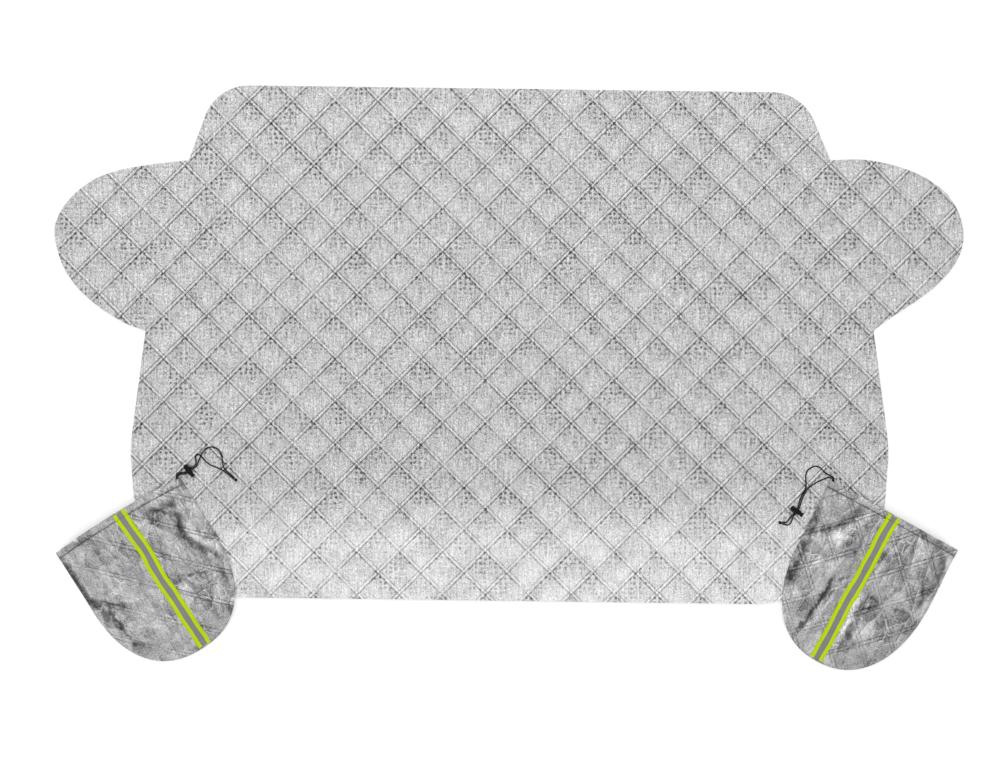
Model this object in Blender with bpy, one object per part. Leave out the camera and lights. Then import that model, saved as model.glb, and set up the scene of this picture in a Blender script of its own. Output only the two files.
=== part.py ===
"""Windshield frost cover, lying flat, with two mirror pouches resting on its lower corners.

Units are metres, +Z is up and the cover's underside is at z = 0. The roof edge is towards +Y.
"""
import math

import bmesh
import bpy
import numpy as np
from mathutils import Matrix, Vector

MM = 0.001
GAP = 0.3 * MM  # between pieces that rest on each other

# Quilted cover, seen from above
ROOF_CORNER_X = 0.692
ROOF_Y = 0.687
ROOF_CORNER_RADIUS = 0.110
SHOULDER_X = 0.758  # upper root of an ear
SHOULDER_Y = 0.518
ARMPIT_X = 0.860  # lower root of an ear
ARMPIT_Y = 0.116
ROOT_RADIUS = 0.008
EAR_REACH = 0.277
HIP_X = 0.897  # the lower block is widest here
HIP_Y = -0.165
HIP_RADIUS = 0.350
BONNET_CORNER_X = 0.872
BONNET_Y = -0.523
BONNET_CORNER_RADIUS = 0.120
BONNET_BENDS = {"left": 0.645, "right": 0.597}  # where the lower edge starts to rise
BONNET_BEND_RADIUS = 0.050
BONNET_RISE = 0.058  # of the lower edge, from there to the corner
EDGE_SLOPE = -0.013  # the roof and bonnet edges fall this much per metre to the right

# Its quilting: diamonds between stitched grooves
QUILT_PITCH = 0.0717  # across the grooves, which run at 45 degrees
QUILT_SHIFT = (0.033, 0.042)
GROOVE_WIDTH = 0.020
GROOVE_Z = 3.0 * MM
CROWN_Z = 6.5 * MM

# Mirror pouches
POUCH_HALF_WIDTH = 0.172
POUCH_STRAIGHT = 0.150  # the sides run straight this far from the mouth
POUCH_WALL = 2.2 * MM
POUCH_SEAM = 4.0 * MM
POUCH_HEIGHT = 22.5 * MM  # top skin above the floor, off the cover
POUCH_RISE = 0.25  # share of the cover's thickness that shows in the top skin
FOLD_HEIGHT = 5.0 * MM
HEM_WIDTH = 0.016
HEM_THICKNESS = 6.6 * MM
HEM_STITCH = 1.7 * MM  # half the width of the groove that its stitches pull
HEM_GROOVE = 0.8 * MM
DRAPE_START = 0.040  # the underside stays level this far past the cover's edge
DRAPE_END = 0.105

# High-visibility tapes, sewn down the pouches
TAPE_WIDTH = 0.031
TAPE_THICKNESS = 0.9 * MM
STRIP_WIDTH = 0.0146
STRIP_THICKNESS = 0.5 * MM
TAPE_END = 0.004  # from the pouch's closed end

# Drawcords and their locks
CORD = 3.0 * MM
STRAND_PITCH = 3.6 * MM
EXIT_INSET = 0.007  # from the hem's end to the middle of the drawcord's exit
EXIT_DEPTH = 0.012
CORD_CLEARANCE = 0.3 * MM
LOCK_DIAMETER = 0.012
LOCK_LENGTH = 0.034
LOCK_DOME = 0.0035
LOCK_WALL = 1.6 * MM
LOCK_END_WALL = 2.6 * MM
BARREL_LENGTH = 0.0258
CAP_THICKNESS = 0.0037
CAP_DIAMETER = 0.0112
STEM_CLEARANCE = 0.3 * MM
STEM_WEB = 0.002  # between the stem's inner end and its slot
CORD_STATION = 0.016  # along the lock from its domed end
LOCK_TRAVEL = 0.004
SPRING_WIRE = 0.5 * MM
SPRING_TURNS = 4.5
KNOT_LENGTH = 0.009
KNOT_DIAMETER = 0.0084

# Each pouch: its mouth's middle beyond the widest place of the cover's side and above the bonnet
# edge, its turn in degrees, its depth, the bow of its mouth, how far its closed end leans along the
# mouth, and the exponent of that end's superellipse
POUCHES = {
    "left": dict(sign=-1, out=0.0277, up=0.2021, turn=31.1, depth=0.372, bow=0.008, lean=0.003,
                 roundness=2.35, fold_phase=0.4),
    "right": dict(sign=1, out=0.0114, up=0.2021, turn=-28.6, depth=0.390, bow=0.001, lean=0.005,
                  roundness=2.25, fold_phase=2.1),
}

# Ear outlines: how far out, as a share of the reach, and how high between the two roots
EARS = {
    "left": ((0.41, 0.965), (0.75, 0.895), (0.95, 0.752), (1.0, 0.61), (0.92, 0.465), (0.78, 0.325),
             (0.54, 0.18), (0.18, 0.04)),
    "right": ((0.31, 1.002), (0.70, 0.926), (0.94, 0.783), (0.985, 0.60), (0.922, 0.47), (0.785, 0.352),
              (0.540, 0.22), (0.168, 0.072)),
}

# Tape paths and drawcord routes in millimetres in a pouch's own frame: along its mouth and out of
# it. The routes count from the drawcord's exit, with the cord's height above the quilting last.
TAPE_PATHS = {
    "left": ((5, 12), (11, -40), (16, -98), (13, -178), (19, -248), (19, -310), (17, -385)),
    "right": ((0, 8), (-1, -95), (-4, -174), (-5, -256), (-4, -331), (-1, -400)),
}
LOCKS = {"left": (33.6, 3.0, -83.1, 1), "right": (-42.0, -101.6, -7.3, -1)}
KNOTS = {"left": (115.3, -68.3, -71.9), "right": (-59.3, -142.7, 198.1)}
ROUTES = {
    "left": {
        "a": (((1.3, 7.5, 3.8), (8.6, 10.5, 4.4), (17.2, 7.6, 5.5)),
              ((47.0, 6.4, 5.8), (52.8, 7.4, 4.6), (57.6, 11.2, 3.2), (60.2, 17.8, 2.1), (62.7, 23.6, 1.8),
               (67.8, 25.7, 1.8), (72.9, 23.6, 1.8), (75.4, 17.8, 1.8), (76.8, 7.6, 1.8), (80.0, -4.4, 1.8),
               (88.4, -18.4, 1.8), (99.6, -33.8, 1.8), (107.2, -50.4, 1.8))),
        "b": (((3.8, 5.0, 3.8), (8.8, 7.0, 4.4), (16.6, 3.8, 5.6)),
              ((47.5, 2.6, 6.2), (54.6, 3.6, 5.8), (60.8, 7.8, 5.5), (66.6, 12.6, 5.3), (73.4, 17.2, 5.3),
               (81.6, 22.9, 4.0), (90.0, 26.2, 2.4), (98.5, 26.6, 1.8), (109.2, 22.4, 1.8),
               (116.6, 12.6, 1.8), (118.4, 0.6, 1.8), (114.8, -13.4, 1.8), (109.3, -25.6, 1.8),
               (107.0, -36.2, 1.8), (110.9, -49.2, 1.8))),
    },
    "right": {
        "a": (((-1.3, 7.5, 3.3), (-8.6, 10.5, 2.7), (-17.8, 9.8, 2.0), (-26.6, 10.6, 1.8), (-35.0, 13.2, 1.8),
               (-44.8, 15.2, 1.8), (-54.4, 12.2, 1.8), (-61.6, 3.6, 1.8),
               (-65.2, -6.7, 1.8), (-63.0, -17.6, 1.8), (-56.8, -28.4, 1.8), (-50.6, -39.0, 1.8),
               (-48.4, -48.4, 1.8), (-48.8, -60.4, 2.0), (-48.2, -74.0, 3.6)),
              ((-46.6, -114.6, 5.7), (-47.6, -121.0, 4.2), (-48.9, -127.0, 2.7), (-49.4, -132.4, 2.2),
               (-50.8, -136.5, 3.0))),
        "b": (((-3.8, 5.0, 3.2), (-8.8, 7.0, 2.6), (-14.0, 4.6, 2.0), (-18.6, -1.0, 1.8), (-24.0, -7.2, 1.8),
               (-31.0, -16.2, 1.8), (-37.6, -27.4, 1.8), (-42.6, -38.4, 1.8), (-44.5, -48.4, 1.8),
               (-44.9, -60.4, 2.0), (-43.8, -74.0, 3.6)),
              ((-42.9, -114.8, 5.8), (-42.4, -120.6, 4.4), (-41.4, -127.2, 2.8), (-41.0, -133.2, 1.9),
               (-43.0, -138.8, 2.1), (-47.6, -141.6, 3.0))),
    },
}

# Where a pouch's rows and columns of facets lie: after the hem's four, as shares of its straight
# sides, of its round end and of its half width
SIDE_ROWS = (0.30, 0.50, 0.73, 1.0)
END_ROWS = (0.14, 0.29, 0.44, 0.58, 0.71, 0.82, 0.915, 1.0)
POUCH_COLUMNS = (0, 0.17, 0.34, 0.51, 0.67, 0.81, 0.905, 1.0)


def material(name, colour, roughness, metallic=0.0):
    made = bpy.data.materials.new(name)
    made.use_nodes = True
    shader = made.node_tree.nodes["Principled BSDF"]
    shader.inputs["Base Color"].default_value = (*colour, 1.0)
    shader.inputs["Roughness"].default_value = roughness
    shader.inputs["Metallic"].default_value = metallic
    made.diffuse_color = (*colour, 1.0)
    return made


def add_object(name, data, look=None, parent=None):
    made = bpy.data.objects.new(name, data)
    bpy.context.collection.objects.link(made)
    if look:
        data.materials.append(look)
    made.parent = parent
    return made


def add_mesh(name, points, faces, look=None, parent=None, smooth=None):
    """A closed mesh with its faces pointing out."""
    mesh = bpy.data.meshes.new(name)
    mesh.from_pydata([tuple(map(float, p)) for p in points], [], faces)
    tidy = bmesh.new()
    tidy.from_mesh(mesh)
    bmesh.ops.recalc_face_normals(tidy, faces=tidy.faces)
    if tidy.calc_volume(signed=True) < 0:
        bmesh.ops.reverse_faces(tidy, faces=tidy.faces)
    tidy.to_mesh(mesh)
    tidy.free()
    made = add_object(name, mesh, look, parent)
    if smooth is not None:
        mesh.shade_smooth()
        mesh.set_sharp_from_angle(angle=math.radians(smooth))
    return made


def cutter(name, points, faces, parent=None):
    made = add_mesh(name, points, faces, parent=parent)
    made.hide_render = True
    made.display_type = "WIRE"
    return made


def boolean(target, other, operation):
    step = target.modifiers.new(other.name, "BOOLEAN")
    step.operation = operation
    step.solver = "EXACT"
    step.object = other


def prism(outline, low, high):
    """Points and faces of an outline extruded upwards from low to high."""
    n = len(outline)
    points = [(x, y, z) for z in (low, high) for x, y in outline]
    sides = [(i, (i + 1) % n, n + (i + 1) % n, n + i) for i in range(n)]
    return points, sides + [tuple(range(n))[::-1], tuple(range(n, 2 * n))]


def stadium(length, width, steps=6):
    """A slot's outline, with round ends, along X."""
    r = width / 2
    turn = [math.pi * i / steps - math.pi / 2 for i in range(steps + 1)]
    right = [(length / 2 - r + r * math.cos(a), r * math.sin(a)) for a in turn]
    return right + [(-x, -y) for x, y in right]


def smooth_curve(points, per_span=12):
    """Points along a centripetal spline through the given points."""
    p = np.array(points, float)
    p = np.vstack([2 * p[0] - p[1], p, 2 * p[-1] - p[-2]])
    curve = []
    for k in range(1, len(p) - 2):
        q = p[k - 1:k + 3]
        knots = np.concatenate([[0], np.cumsum(np.sqrt(np.linalg.norm(np.diff(q, axis=0), axis=1)))])
        for t in np.linspace(knots[1], knots[2], per_span, endpoint=False):
            row = list(q)
            for level in (1, 2, 3):
                row = [((knots[i + level] - t) * row[i] + (t - knots[i]) * row[i + 1])
                       / (knots[i + level] - knots[i]) for i in range(len(row) - 1)]
            curve.append(row[0])
    return np.array(curve + [p[-2]])


def evenly(points, step):
    """The same line, with its points about step apart."""
    along = np.concatenate([[0], np.cumsum(np.linalg.norm(np.diff(points, axis=0), axis=1))])
    at = np.linspace(0, along[-1], max(2, round(along[-1] / step) + 1))
    return np.stack([np.interp(at, along, points[:, k]) for k in range(points.shape[1])], axis=1)


def filleted(corners, degrees=9):
    """An outline from (x, y, fillet radius) corners."""
    outline = []
    for i, (x, y, radius) in enumerate(corners):
        here = Vector((x, y))
        before = Vector(corners[i - 1][:2]) - here
        after = Vector(corners[(i + 1) % len(corners)][:2]) - here
        if not radius:
            outline.append((x, y))
            continue
        between = before.angle(after)
        reach = min(radius / math.tan(between / 2), 0.49 * before.length, 0.49 * after.length)
        radius = reach * math.tan(between / 2)
        middle = here + (before.normalized() + after.normalized()).normalized() * (
            radius / math.sin(between / 2))
        start, end = here + before.normalized() * reach - middle, here + after.normalized() * reach - middle
        sweep = math.atan2(start.x * end.y - start.y * end.x, start.dot(end))
        steps = max(2, math.ceil(abs(math.degrees(sweep)) / degrees))
        for k in range(steps + 1):
            spoke = start.copy()
            spoke.rotate(Matrix.Rotation(sweep * k / steps, 2))
            outline.append(tuple(middle + spoke))
    return outline


def ear(side):
    """The points of one ear's round edge, from its upper root to its lower one."""
    sign = POUCHES[side]["sign"]
    shape = []
    for out, up in ((0, 1), *EARS[side], (0, 0)):
        root = ARMPIT_X + (SHOULDER_X - ARMPIT_X) * up
        shape.append((sign * (root + out * EAR_REACH), ARMPIT_Y + (SHOULDER_Y - ARMPIT_Y) * up))
    edge = smooth_curve(shape, 4)[1:-1]
    return [(x, y, 0) for x, y in edge]


def cover_outline():
    """The cover's edge, anticlockwise from the roof edge's right corner."""
    def bonnet(x):
        return BONNET_Y + x * EDGE_SLOPE

    def half(sign):
        side = "left" if sign < 0 else "right"
        return [
            (sign * ROOF_CORNER_X, ROOF_Y + sign * ROOF_CORNER_X * EDGE_SLOPE, ROOF_CORNER_RADIUS),
            (sign * SHOULDER_X, SHOULDER_Y, ROOT_RADIUS),
            *ear(side),
            (sign * ARMPIT_X, ARMPIT_Y, ROOT_RADIUS),
            (sign * HIP_X, HIP_Y, HIP_RADIUS),
            (sign * BONNET_CORNER_X, bonnet(sign * BONNET_CORNER_X) + BONNET_RISE, BONNET_CORNER_RADIUS),
            (sign * BONNET_BENDS[side], bonnet(sign * BONNET_BENDS[side]), BONNET_BEND_RADIUS),
        ]
    left, right = half(-1), half(1)
    return filleted([right[0]] + left + right[:0:-1])


def quilted_slab():
    """Points and faces of stitched diamonds that reach past the cover's edge all round."""
    reach = math.hypot(2 * (ARMPIT_X + EAR_REACH), ROOF_Y - BONNET_Y) / 2 + QUILT_PITCH
    count = math.ceil(reach / QUILT_PITCH)
    span = range(-count, count + 1)
    floor = -CROWN_Z

    def at(i, j, z):
        a, b = i * QUILT_PITCH + QUILT_SHIFT[0], j * QUILT_PITCH + QUILT_SHIFT[1]
        return ((a - b) / math.sqrt(2), (a + b) / math.sqrt(2), z)

    inside = {(i, j) for i in span for j in span
              if abs(at(i + 0.5, j + 0.5, 0)[0]) < ARMPIT_X + EAR_REACH + QUILT_PITCH
              and BONNET_Y - 1.3 * QUILT_PITCH < at(i + 0.5, j + 0.5, 0)[1] < ROOF_Y + 1.3 * QUILT_PITCH}
    points, faces, number = [], [], {}

    def point(i, j, z):
        key = (round(i, 4), round(j, 4), z)
        if key not in number:
            number[key] = len(points)
            points.append(at(i, j, z))
        return number[key]

    inset = GROOVE_WIDTH / 2 / QUILT_PITCH
    for i, j in sorted(inside):
        ring = [(i, j), (i + 1, j), (i + 1, j + 1), (i, j + 1)]
        low = [point(a, b, GROOVE_Z) for a, b in ring]
        rim = [point(a + inset * (1 - 2 * (a > i)), b + inset * (1 - 2 * (b > j)), CROWN_Z)
               for a, b in ring]
        base = [point(a, b, floor) for a, b in ring]
        for k in range(4):
            m = (k + 1) % 4
            faces.append((low[k], low[m], rim[m], rim[k]))
        faces += [tuple(rim), tuple(base[::-1])]
        for k, (di, dj) in enumerate(((0, -1), (1, 0), (0, 1), (-1, 0))):
            if (i + di, j + dj) not in inside:
                m = (k + 1) % 4
                faces.append((low[m], low[k], base[k], base[m]))
    return points, faces


def make_cover(root, foil):
    cover = add_mesh("quilted_cover", *quilted_slab(), foil, root, smooth=20)
    edge = cutter("cover_edge", *prism(cover_outline(), 0, 3 * CROWN_Z), parent=root)
    boolean(cover, edge, "INTERSECT")
    return cover


def outside_cover(x, y, outline=np.array(cover_outline())):
    """How far a place lies outside the cover's edge, or 0 on it."""
    a, b = outline, np.roll(outline, -1, axis=0)
    spot, run = np.array([x, y]), b - a
    crosses = ((a[:, 1] > y) != (b[:, 1] > y)) & (
        x < a[:, 0] + (y - a[:, 1]) * run[:, 0] / np.where(run[:, 1] == 0, 1e-12, run[:, 1]))
    if crosses.sum() % 2:
        return 0.0
    t = np.clip(((spot - a) * run).sum(1) / np.maximum((run * run).sum(1), 1e-15), 0, 1)
    return float(np.linalg.norm(spot - a - t[:, None] * run, axis=1).min())


def ease(t):
    t = min(max(t, 0.0), 1.0)
    return t * t * (3 - 2 * t)


class Pouch:
    """A flat bag with a round closed end. Its frame has +X along its mouth and +Y out of it."""

    def __init__(self, side):
        self.side = side
        self.__dict__.update(POUCHES[side])
        self.sign = self.side_sign = POUCHES[side]["sign"]
        self.middle = Vector((self.sign * (HIP_X + self.out), BONNET_Y + self.up, 0))
        self.matrix = Matrix.Translation(self.middle) @ Matrix.Rotation(math.radians(self.turn), 4, "Z")
        self.stitches = HEM_WIDTH + HEM_STITCH
        hem = (0, HEM_WIDTH - HEM_STITCH, self.stitches, HEM_WIDTH + 3 * HEM_STITCH)
        self.rows = [("straight", d) for d in (*hem, *(s * POUCH_STRAIGHT for s in SIDE_ROWS))]
        self.rows += [("end", t) for t in END_ROWS]
        self.columns = [-u for u in POUCH_COLUMNS[:0:-1]] + list(POUCH_COLUMNS)
        self.end = self.depth - POUCH_STRAIGHT

    def plan(self, u, kind, v):
        """A place on the pouch in its own frame, from its share of the half width and its row."""
        if kind == "straight":
            x, y = u * POUCH_HALF_WIDTH, -v
            y += self.bow * (1 - u * u) * (1 - ease(v / 0.05))
            depth = v
        else:
            across, down = u * math.sqrt(1 - v * v / 2), v * math.sqrt(1 - u * u / 2)
            r = math.hypot(across, down)
            n = self.roundness
            swell = ((abs(across) / r) ** n + (down / r) ** n) ** (-1 / n)
            x, y = across * swell * POUCH_HALF_WIDTH, -POUCH_STRAIGHT - down * swell * self.end
            depth = -y
        return x + self.lean * ease(depth / POUCH_STRAIGHT), y

    def world(self, x, y, z=0.0):
        return self.matrix @ Vector((x, y, z))

    def base(self, x, y):
        """The underside: level on the quilting, then down to the floor past the cover's edge."""
        spot = self.world(x, y)
        past = outside_cover(spot.x, spot.y)
        return (CROWN_Z + GAP) * (1 - ease((past - DRAPE_START) / (DRAPE_END - DRAPE_START)))

    def puff(self, u, kind, v):
        """0 in the seams and 1 where the bag is full."""
        sides = ease((1 - abs(u)) / 0.36)
        closed = 1.0 if kind == "straight" else ease((1 - v) / 0.42)
        return sides * closed

    def folds(self, x, y):
        """Creases of the crumpled top skin, in shares of the fold height."""
        total = 0.0
        for angle, length, phase, share in ((24, 0.118, 0.0, 0.42), (-37, 0.091, 1.7, 0.33), (71, 0.147, 3.9, 0.25)):
            a = math.radians(angle + 9 * math.sin(self.fold_phase))
            bend = 0.012 * math.sin(2 * math.pi * (x * math.sin(a) - y * math.cos(a)) / 0.21 + phase)
            wave = math.sin(2 * math.pi * (x * math.cos(a) + y * math.sin(a) + bend) / length
                            + phase + self.fold_phase)
            total += share * (1 - abs(wave)) ** 1.5
        return total

    def top(self, u, kind, v, relief=True):
        x, y = self.plan(u, kind, v)
        low = self.base(x, y)
        puff = self.puff(u, kind, v)
        full = POUCH_HEIGHT + POUCH_RISE * low
        z = low + POUCH_SEAM + puff * (full - low - POUCH_SEAM)
        if kind == "straight" and v <= self.rows[3][1]:
            z = max(z, low + HEM_THICKNESS)
            if v == self.stitches:
                z -= HEM_GROOVE
        elif relief:
            z += FOLD_HEIGHT * puff * self.folds(x, y)
        return z

    def grid(self, height, columns, rows):
        """World points of a skin whose height is given by height(u, kind, v)."""
        return [[self.world(*self.plan(u, *row), height(u, *row)) for row in rows] for u in columns]


def make_pouch(pouch, root, foil):
    """A hollow bag: an outer and an inner skin that meet round the mouth."""
    points, faces = [], []

    def skin(grid, shared=None):
        ids = []
        for i, column in enumerate(grid):
            ids.append([])
            for j, p in enumerate(column):
                if shared and (i in (0, len(grid) - 1) or j == len(column) - 1):
                    ids[-1].append(shared[i][j])
                else:
                    ids[-1].append(len(points))
                    points.append(p)
        return ids

    def sheet(ids):
        for i in range(len(ids) - 1):
            for j in range(len(ids[0]) - 1):
                a, b, c, d = ids[i][j], ids[i + 1][j], ids[i + 1][j + 1], ids[i][j + 1]
                faces.extend([(a, b, c), (a, c, d)])

    columns, rows = pouch.columns, pouch.rows
    top = skin(pouch.grid(pouch.top, columns, rows))
    low = skin(pouch.grid(lambda u, *row: pouch.base(*pouch.plan(u, *row)), columns, rows))
    inner_columns = columns[1:-1]
    inner_rows = rows[:1] + rows[4:-1]
    edge = inner_rows[-1]

    def inner_low(u, *row):
        return pouch.base(*pouch.plan(u, *row)) + POUCH_WALL

    def inner_top(u, *row):
        closing = u in (inner_columns[0], inner_columns[-1]) or row == edge
        if closing:
            return inner_low(u, *row)
        return max(pouch.top(u, *row, relief=False) - POUCH_WALL, inner_low(u, *row) + 0.4 * MM)

    under = skin(pouch.grid(inner_low, inner_columns, inner_rows))
    over = skin(pouch.grid(inner_top, inner_columns, inner_rows), shared=under)
    for ids in (top, low, under, over):
        sheet(ids)
    last = len(rows) - 1
    rim = [(i, 0) for i in range(len(columns))]
    walls = [[(0, j) for j in range(last + 1)], [(len(columns) - 1, j) for j in range(last + 1)],
             [(i, last) for i in range(len(columns))]]
    for wall in walls:
        for (i, j), (m, n) in zip(wall, wall[1:]):
            faces.append((top[i][j], top[m][n], low[m][n], low[i][j]))
    for i, _ in rim[1:-2]:
        k = i - 1
        faces.append((top[i][0], top[i + 1][0], over[k + 1][0], over[k][0]))
        faces.append((low[i][0], low[i + 1][0], under[k + 1][0], under[k][0]))
    for end, near, inner in ((0, 1, under[0][0]), (len(columns) - 1, len(columns) - 2, under[-1][0])):
        faces.extend([(top[end][0], top[near][0], inner), (top[end][0], inner, low[end][0]),
                      (low[end][0], inner, low[near][0])])
    return add_mesh(f"{pouch.side}_mirror_pouch", points, faces, foil, root)


def exit_place(pouch):
    """The middle of the drawcord's exit at the hem's mouth edge, in the pouch's frame."""
    x = -pouch.sign * (POUCH_HALF_WIDTH - EXIT_INSET)
    y = pouch.bow * (1 - (x / POUCH_HALF_WIDTH) ** 2)
    return x, y, pouch.base(x, y) + HEM_THICKNESS / 2


def cut_exit(pouch, bag, root):
    """The hem tunnel's mouth, which both strands of the drawcord leave."""
    x, y, z = exit_place(pouch)
    width = STRAND_PITCH + CORD + 2 * CORD_CLEARANCE
    height = CORD + 2 * CORD_CLEARANCE
    points, faces = prism(stadium(width, height), -EXIT_DEPTH, 0.02)
    hole = cutter(f"{pouch.side}_exit_cut", points, faces, parent=root)
    hole.matrix_local = pouch.matrix @ Matrix.Translation((x, y, z)) @ Matrix.Rotation(math.pi / 2, 4, "X") \
        @ Matrix.Scale(-1, 4, (0, 0, 1)) @ Matrix.Scale(-1, 4, (0, 1, 0))
    boolean(bag, hole, "DIFFERENCE")


def ribbon_edge(path, width):
    """The outline of a ribbon along a path."""
    line = evenly(smooth_curve([(x * MM, y * MM) for x, y in path], 8), 0.02)
    run = np.gradient(line, axis=0)
    side = np.stack([-run[:, 1], run[:, 0]], axis=1) / np.linalg.norm(run, axis=1)[:, None] * width / 2
    return [tuple(p) for p in line + side] + [tuple(p) for p in (line - side)[::-1]]


def make_tape(pouch, name, width, low, thickness, look, root):
    """A ribbon that follows the top skin, low above it."""
    reach = TAPE_WIDTH / 2 + 0.045
    columns = [u for u in pouch.columns if abs(u) * POUCH_HALF_WIDTH < reach + 0.03]
    points, faces = [], []
    for rise in (low, low + thickness):
        for column in pouch.grid(lambda u, *row: pouch.top(u, *row) + rise, columns, pouch.rows):
            points.extend(column)
    n, m = len(pouch.rows), len(columns)

    def at(level, i, j):
        return level * n * m + i * n + j

    for level in (0, 1):
        for i in range(m - 1):
            for j in range(n - 1):
                a, b, c, d = (at(level, i, j), at(level, i + 1, j), at(level, i + 1, j + 1), at(level, i, j + 1))
                faces.extend([(a, b, c), (a, c, d)])
    loop = [(i, 0) for i in range(m)] + [(m - 1, j) for j in range(1, n)] \
        + [(i, n - 1) for i in range(m - 2, -1, -1)] + [(0, j) for j in range(n - 2, 0, -1)]
    for k, here in enumerate(loop):
        there = loop[(k + 1) % len(loop)]
        faces.append((at(0, *here), at(0, *there), at(1, *there), at(1, *here)))
    tape = add_mesh(name, points, faces, look, root)
    path = [p for p in TAPE_PATHS[pouch.side] if -p[1] * MM < pouch.depth - 0.03]
    path.append((TAPE_PATHS[pouch.side][-1][0], -(pouch.depth - TAPE_END) / MM))
    outline, sides = prism(ribbon_edge(path, width), -0.01, 0.08)
    ribbon = cutter(f"{name}_edge", outline, sides, parent=root)
    ribbon.matrix_local = pouch.matrix
    boolean(tape, ribbon, "INTERSECT")
    return tape


def lathe(profile, segments=20):
    """Points and faces of a profile of (along, radius), turned round the X axis."""
    points, faces, rings = [], [], []
    for along, radius in profile:
        if radius == 0:
            rings.append([len(points)] * segments)
            points.append((along, 0, 0))
            continue
        rings.append(list(range(len(points), len(points) + segments)))
        for k in range(segments):
            a = 2 * math.pi * k / segments
            points.append((along, radius * math.cos(a), radius * math.sin(a)))
    for here, there in zip(rings, rings[1:]):
        for k in range(segments):
            m = (k + 1) % segments
            face = list(dict.fromkeys((here[k], here[m], there[m], there[k])))
            if len(face) > 2:
                faces.append(tuple(face))
    return points, faces


def dome(length, radius, steps=5):
    """Profile of a closed round end, from its tip."""
    turn = [math.pi / 2 * k / steps for k in range(steps + 1)]
    return [(length * (1 - math.cos(a)), radius * math.sin(a)) for a in turn]


def lock_frame(pouch):
    """The lock's frame: its domed end at the origin and +X along it, lying on the quilting."""
    x, y, heading, _ = LOCKS[pouch.side]
    ex, ey, _ = exit_place(pouch)
    centre = pouch.world(ex + x * MM, ey + y * MM, CROWN_Z + GAP + LOCK_DIAMETER / 2)
    turn = Matrix.Rotation(math.radians(pouch.turn + heading), 4, "Z")
    return Matrix.Translation(centre) @ turn @ Matrix.Translation((-LOCK_LENGTH / 2, 0, 0))


def slot_cutter(name, low, high, frame, root):
    """A cutter through the lock, across it, from low to high along it."""
    outline = stadium(high - low, CORD + 2 * CORD_CLEARANCE)
    points, faces = prism(outline, -LOCK_DIAMETER, LOCK_DIAMETER)
    made = cutter(name, points, faces, parent=root)
    made.matrix_local = frame @ Matrix.Translation(((low + high) / 2, 0, 0)) @ Matrix.Rotation(math.pi / 2, 4, "X")
    return made


def make_lock(pouch, root, plastic, steel):
    """A barrel, the sprung plunger that pinches the cord in it, and the spring."""
    frame = lock_frame(pouch)
    radius = LOCK_DIAMETER / 2
    bore = radius - LOCK_WALL
    chamfer = 0.4 * MM
    shell = dome(LOCK_DOME, radius) + [
        (BARREL_LENGTH - chamfer, radius), (BARREL_LENGTH, radius - chamfer), (BARREL_LENGTH, bore),
        (LOCK_END_WALL, bore), (LOCK_END_WALL, 0)]
    barrel = add_mesh(f"{pouch.side}_lock_barrel", *lathe(shell), plastic, root, smooth=35)
    barrel.matrix_local = frame
    half = (STRAND_PITCH + CORD) / 2 + CORD_CLEARANCE
    low, high = CORD_STATION - half, CORD_STATION + half
    boolean(barrel, slot_cutter(f"{pouch.side}_barrel_slot", low, high, frame, root), "DIFFERENCE")

    stem = bore - STEM_CLEARANCE
    inner = low - STEM_WEB
    cap = CAP_DIAMETER / 2
    turned = [(inner, 0), (inner, stem - chamfer), (inner + chamfer, stem),
              (LOCK_LENGTH - CAP_THICKNESS, stem), (LOCK_LENGTH - CAP_THICKNESS, cap),
              (LOCK_LENGTH - chamfer, cap), (LOCK_LENGTH, cap - chamfer), (LOCK_LENGTH, 0)]
    plunger = add_mesh(f"{pouch.side}_lock_plunger", *lathe(turned), plastic, root, smooth=35)
    plunger.matrix_local = frame
    boolean(plunger, slot_cutter(f"{pouch.side}_plunger_slot", low, high + LOCK_TRAVEL, frame, root), "DIFFERENCE")

    start, end = LOCK_END_WALL + GAP + SPRING_WIRE / 2, inner - GAP - SPRING_WIRE / 2
    coil = (bore - 3 * SPRING_WIRE / 2 - CORD_CLEARANCE)
    count = round(SPRING_TURNS * 9)
    turn = 2 * math.pi * SPRING_TURNS / count
    helix = [(start + (end - start) * k / count, coil * math.cos(turn * k), coil * math.sin(turn * k))
             for k in range(count + 1)]
    spring = add_curve(f"{pouch.side}_lock_spring", helix, SPRING_WIRE / 2, 1, steel, root)
    spring.matrix_local = frame


def add_curve(name, points, radius, resolution, look, root):
    """A round wire or cord through the points, with closed ends."""
    curve = bpy.data.curves.new(name, "CURVE")
    curve.dimensions = "3D"
    curve.bevel_depth = radius
    curve.bevel_resolution = resolution
    curve.use_fill_caps = True
    spline = curve.splines.new("POLY")
    spline.points.add(len(points) - 1)
    for p, at in zip(spline.points, points):
        p.co = (*at, 1)
    spline.use_smooth = True
    return add_object(name, curve, look, root)


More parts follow.
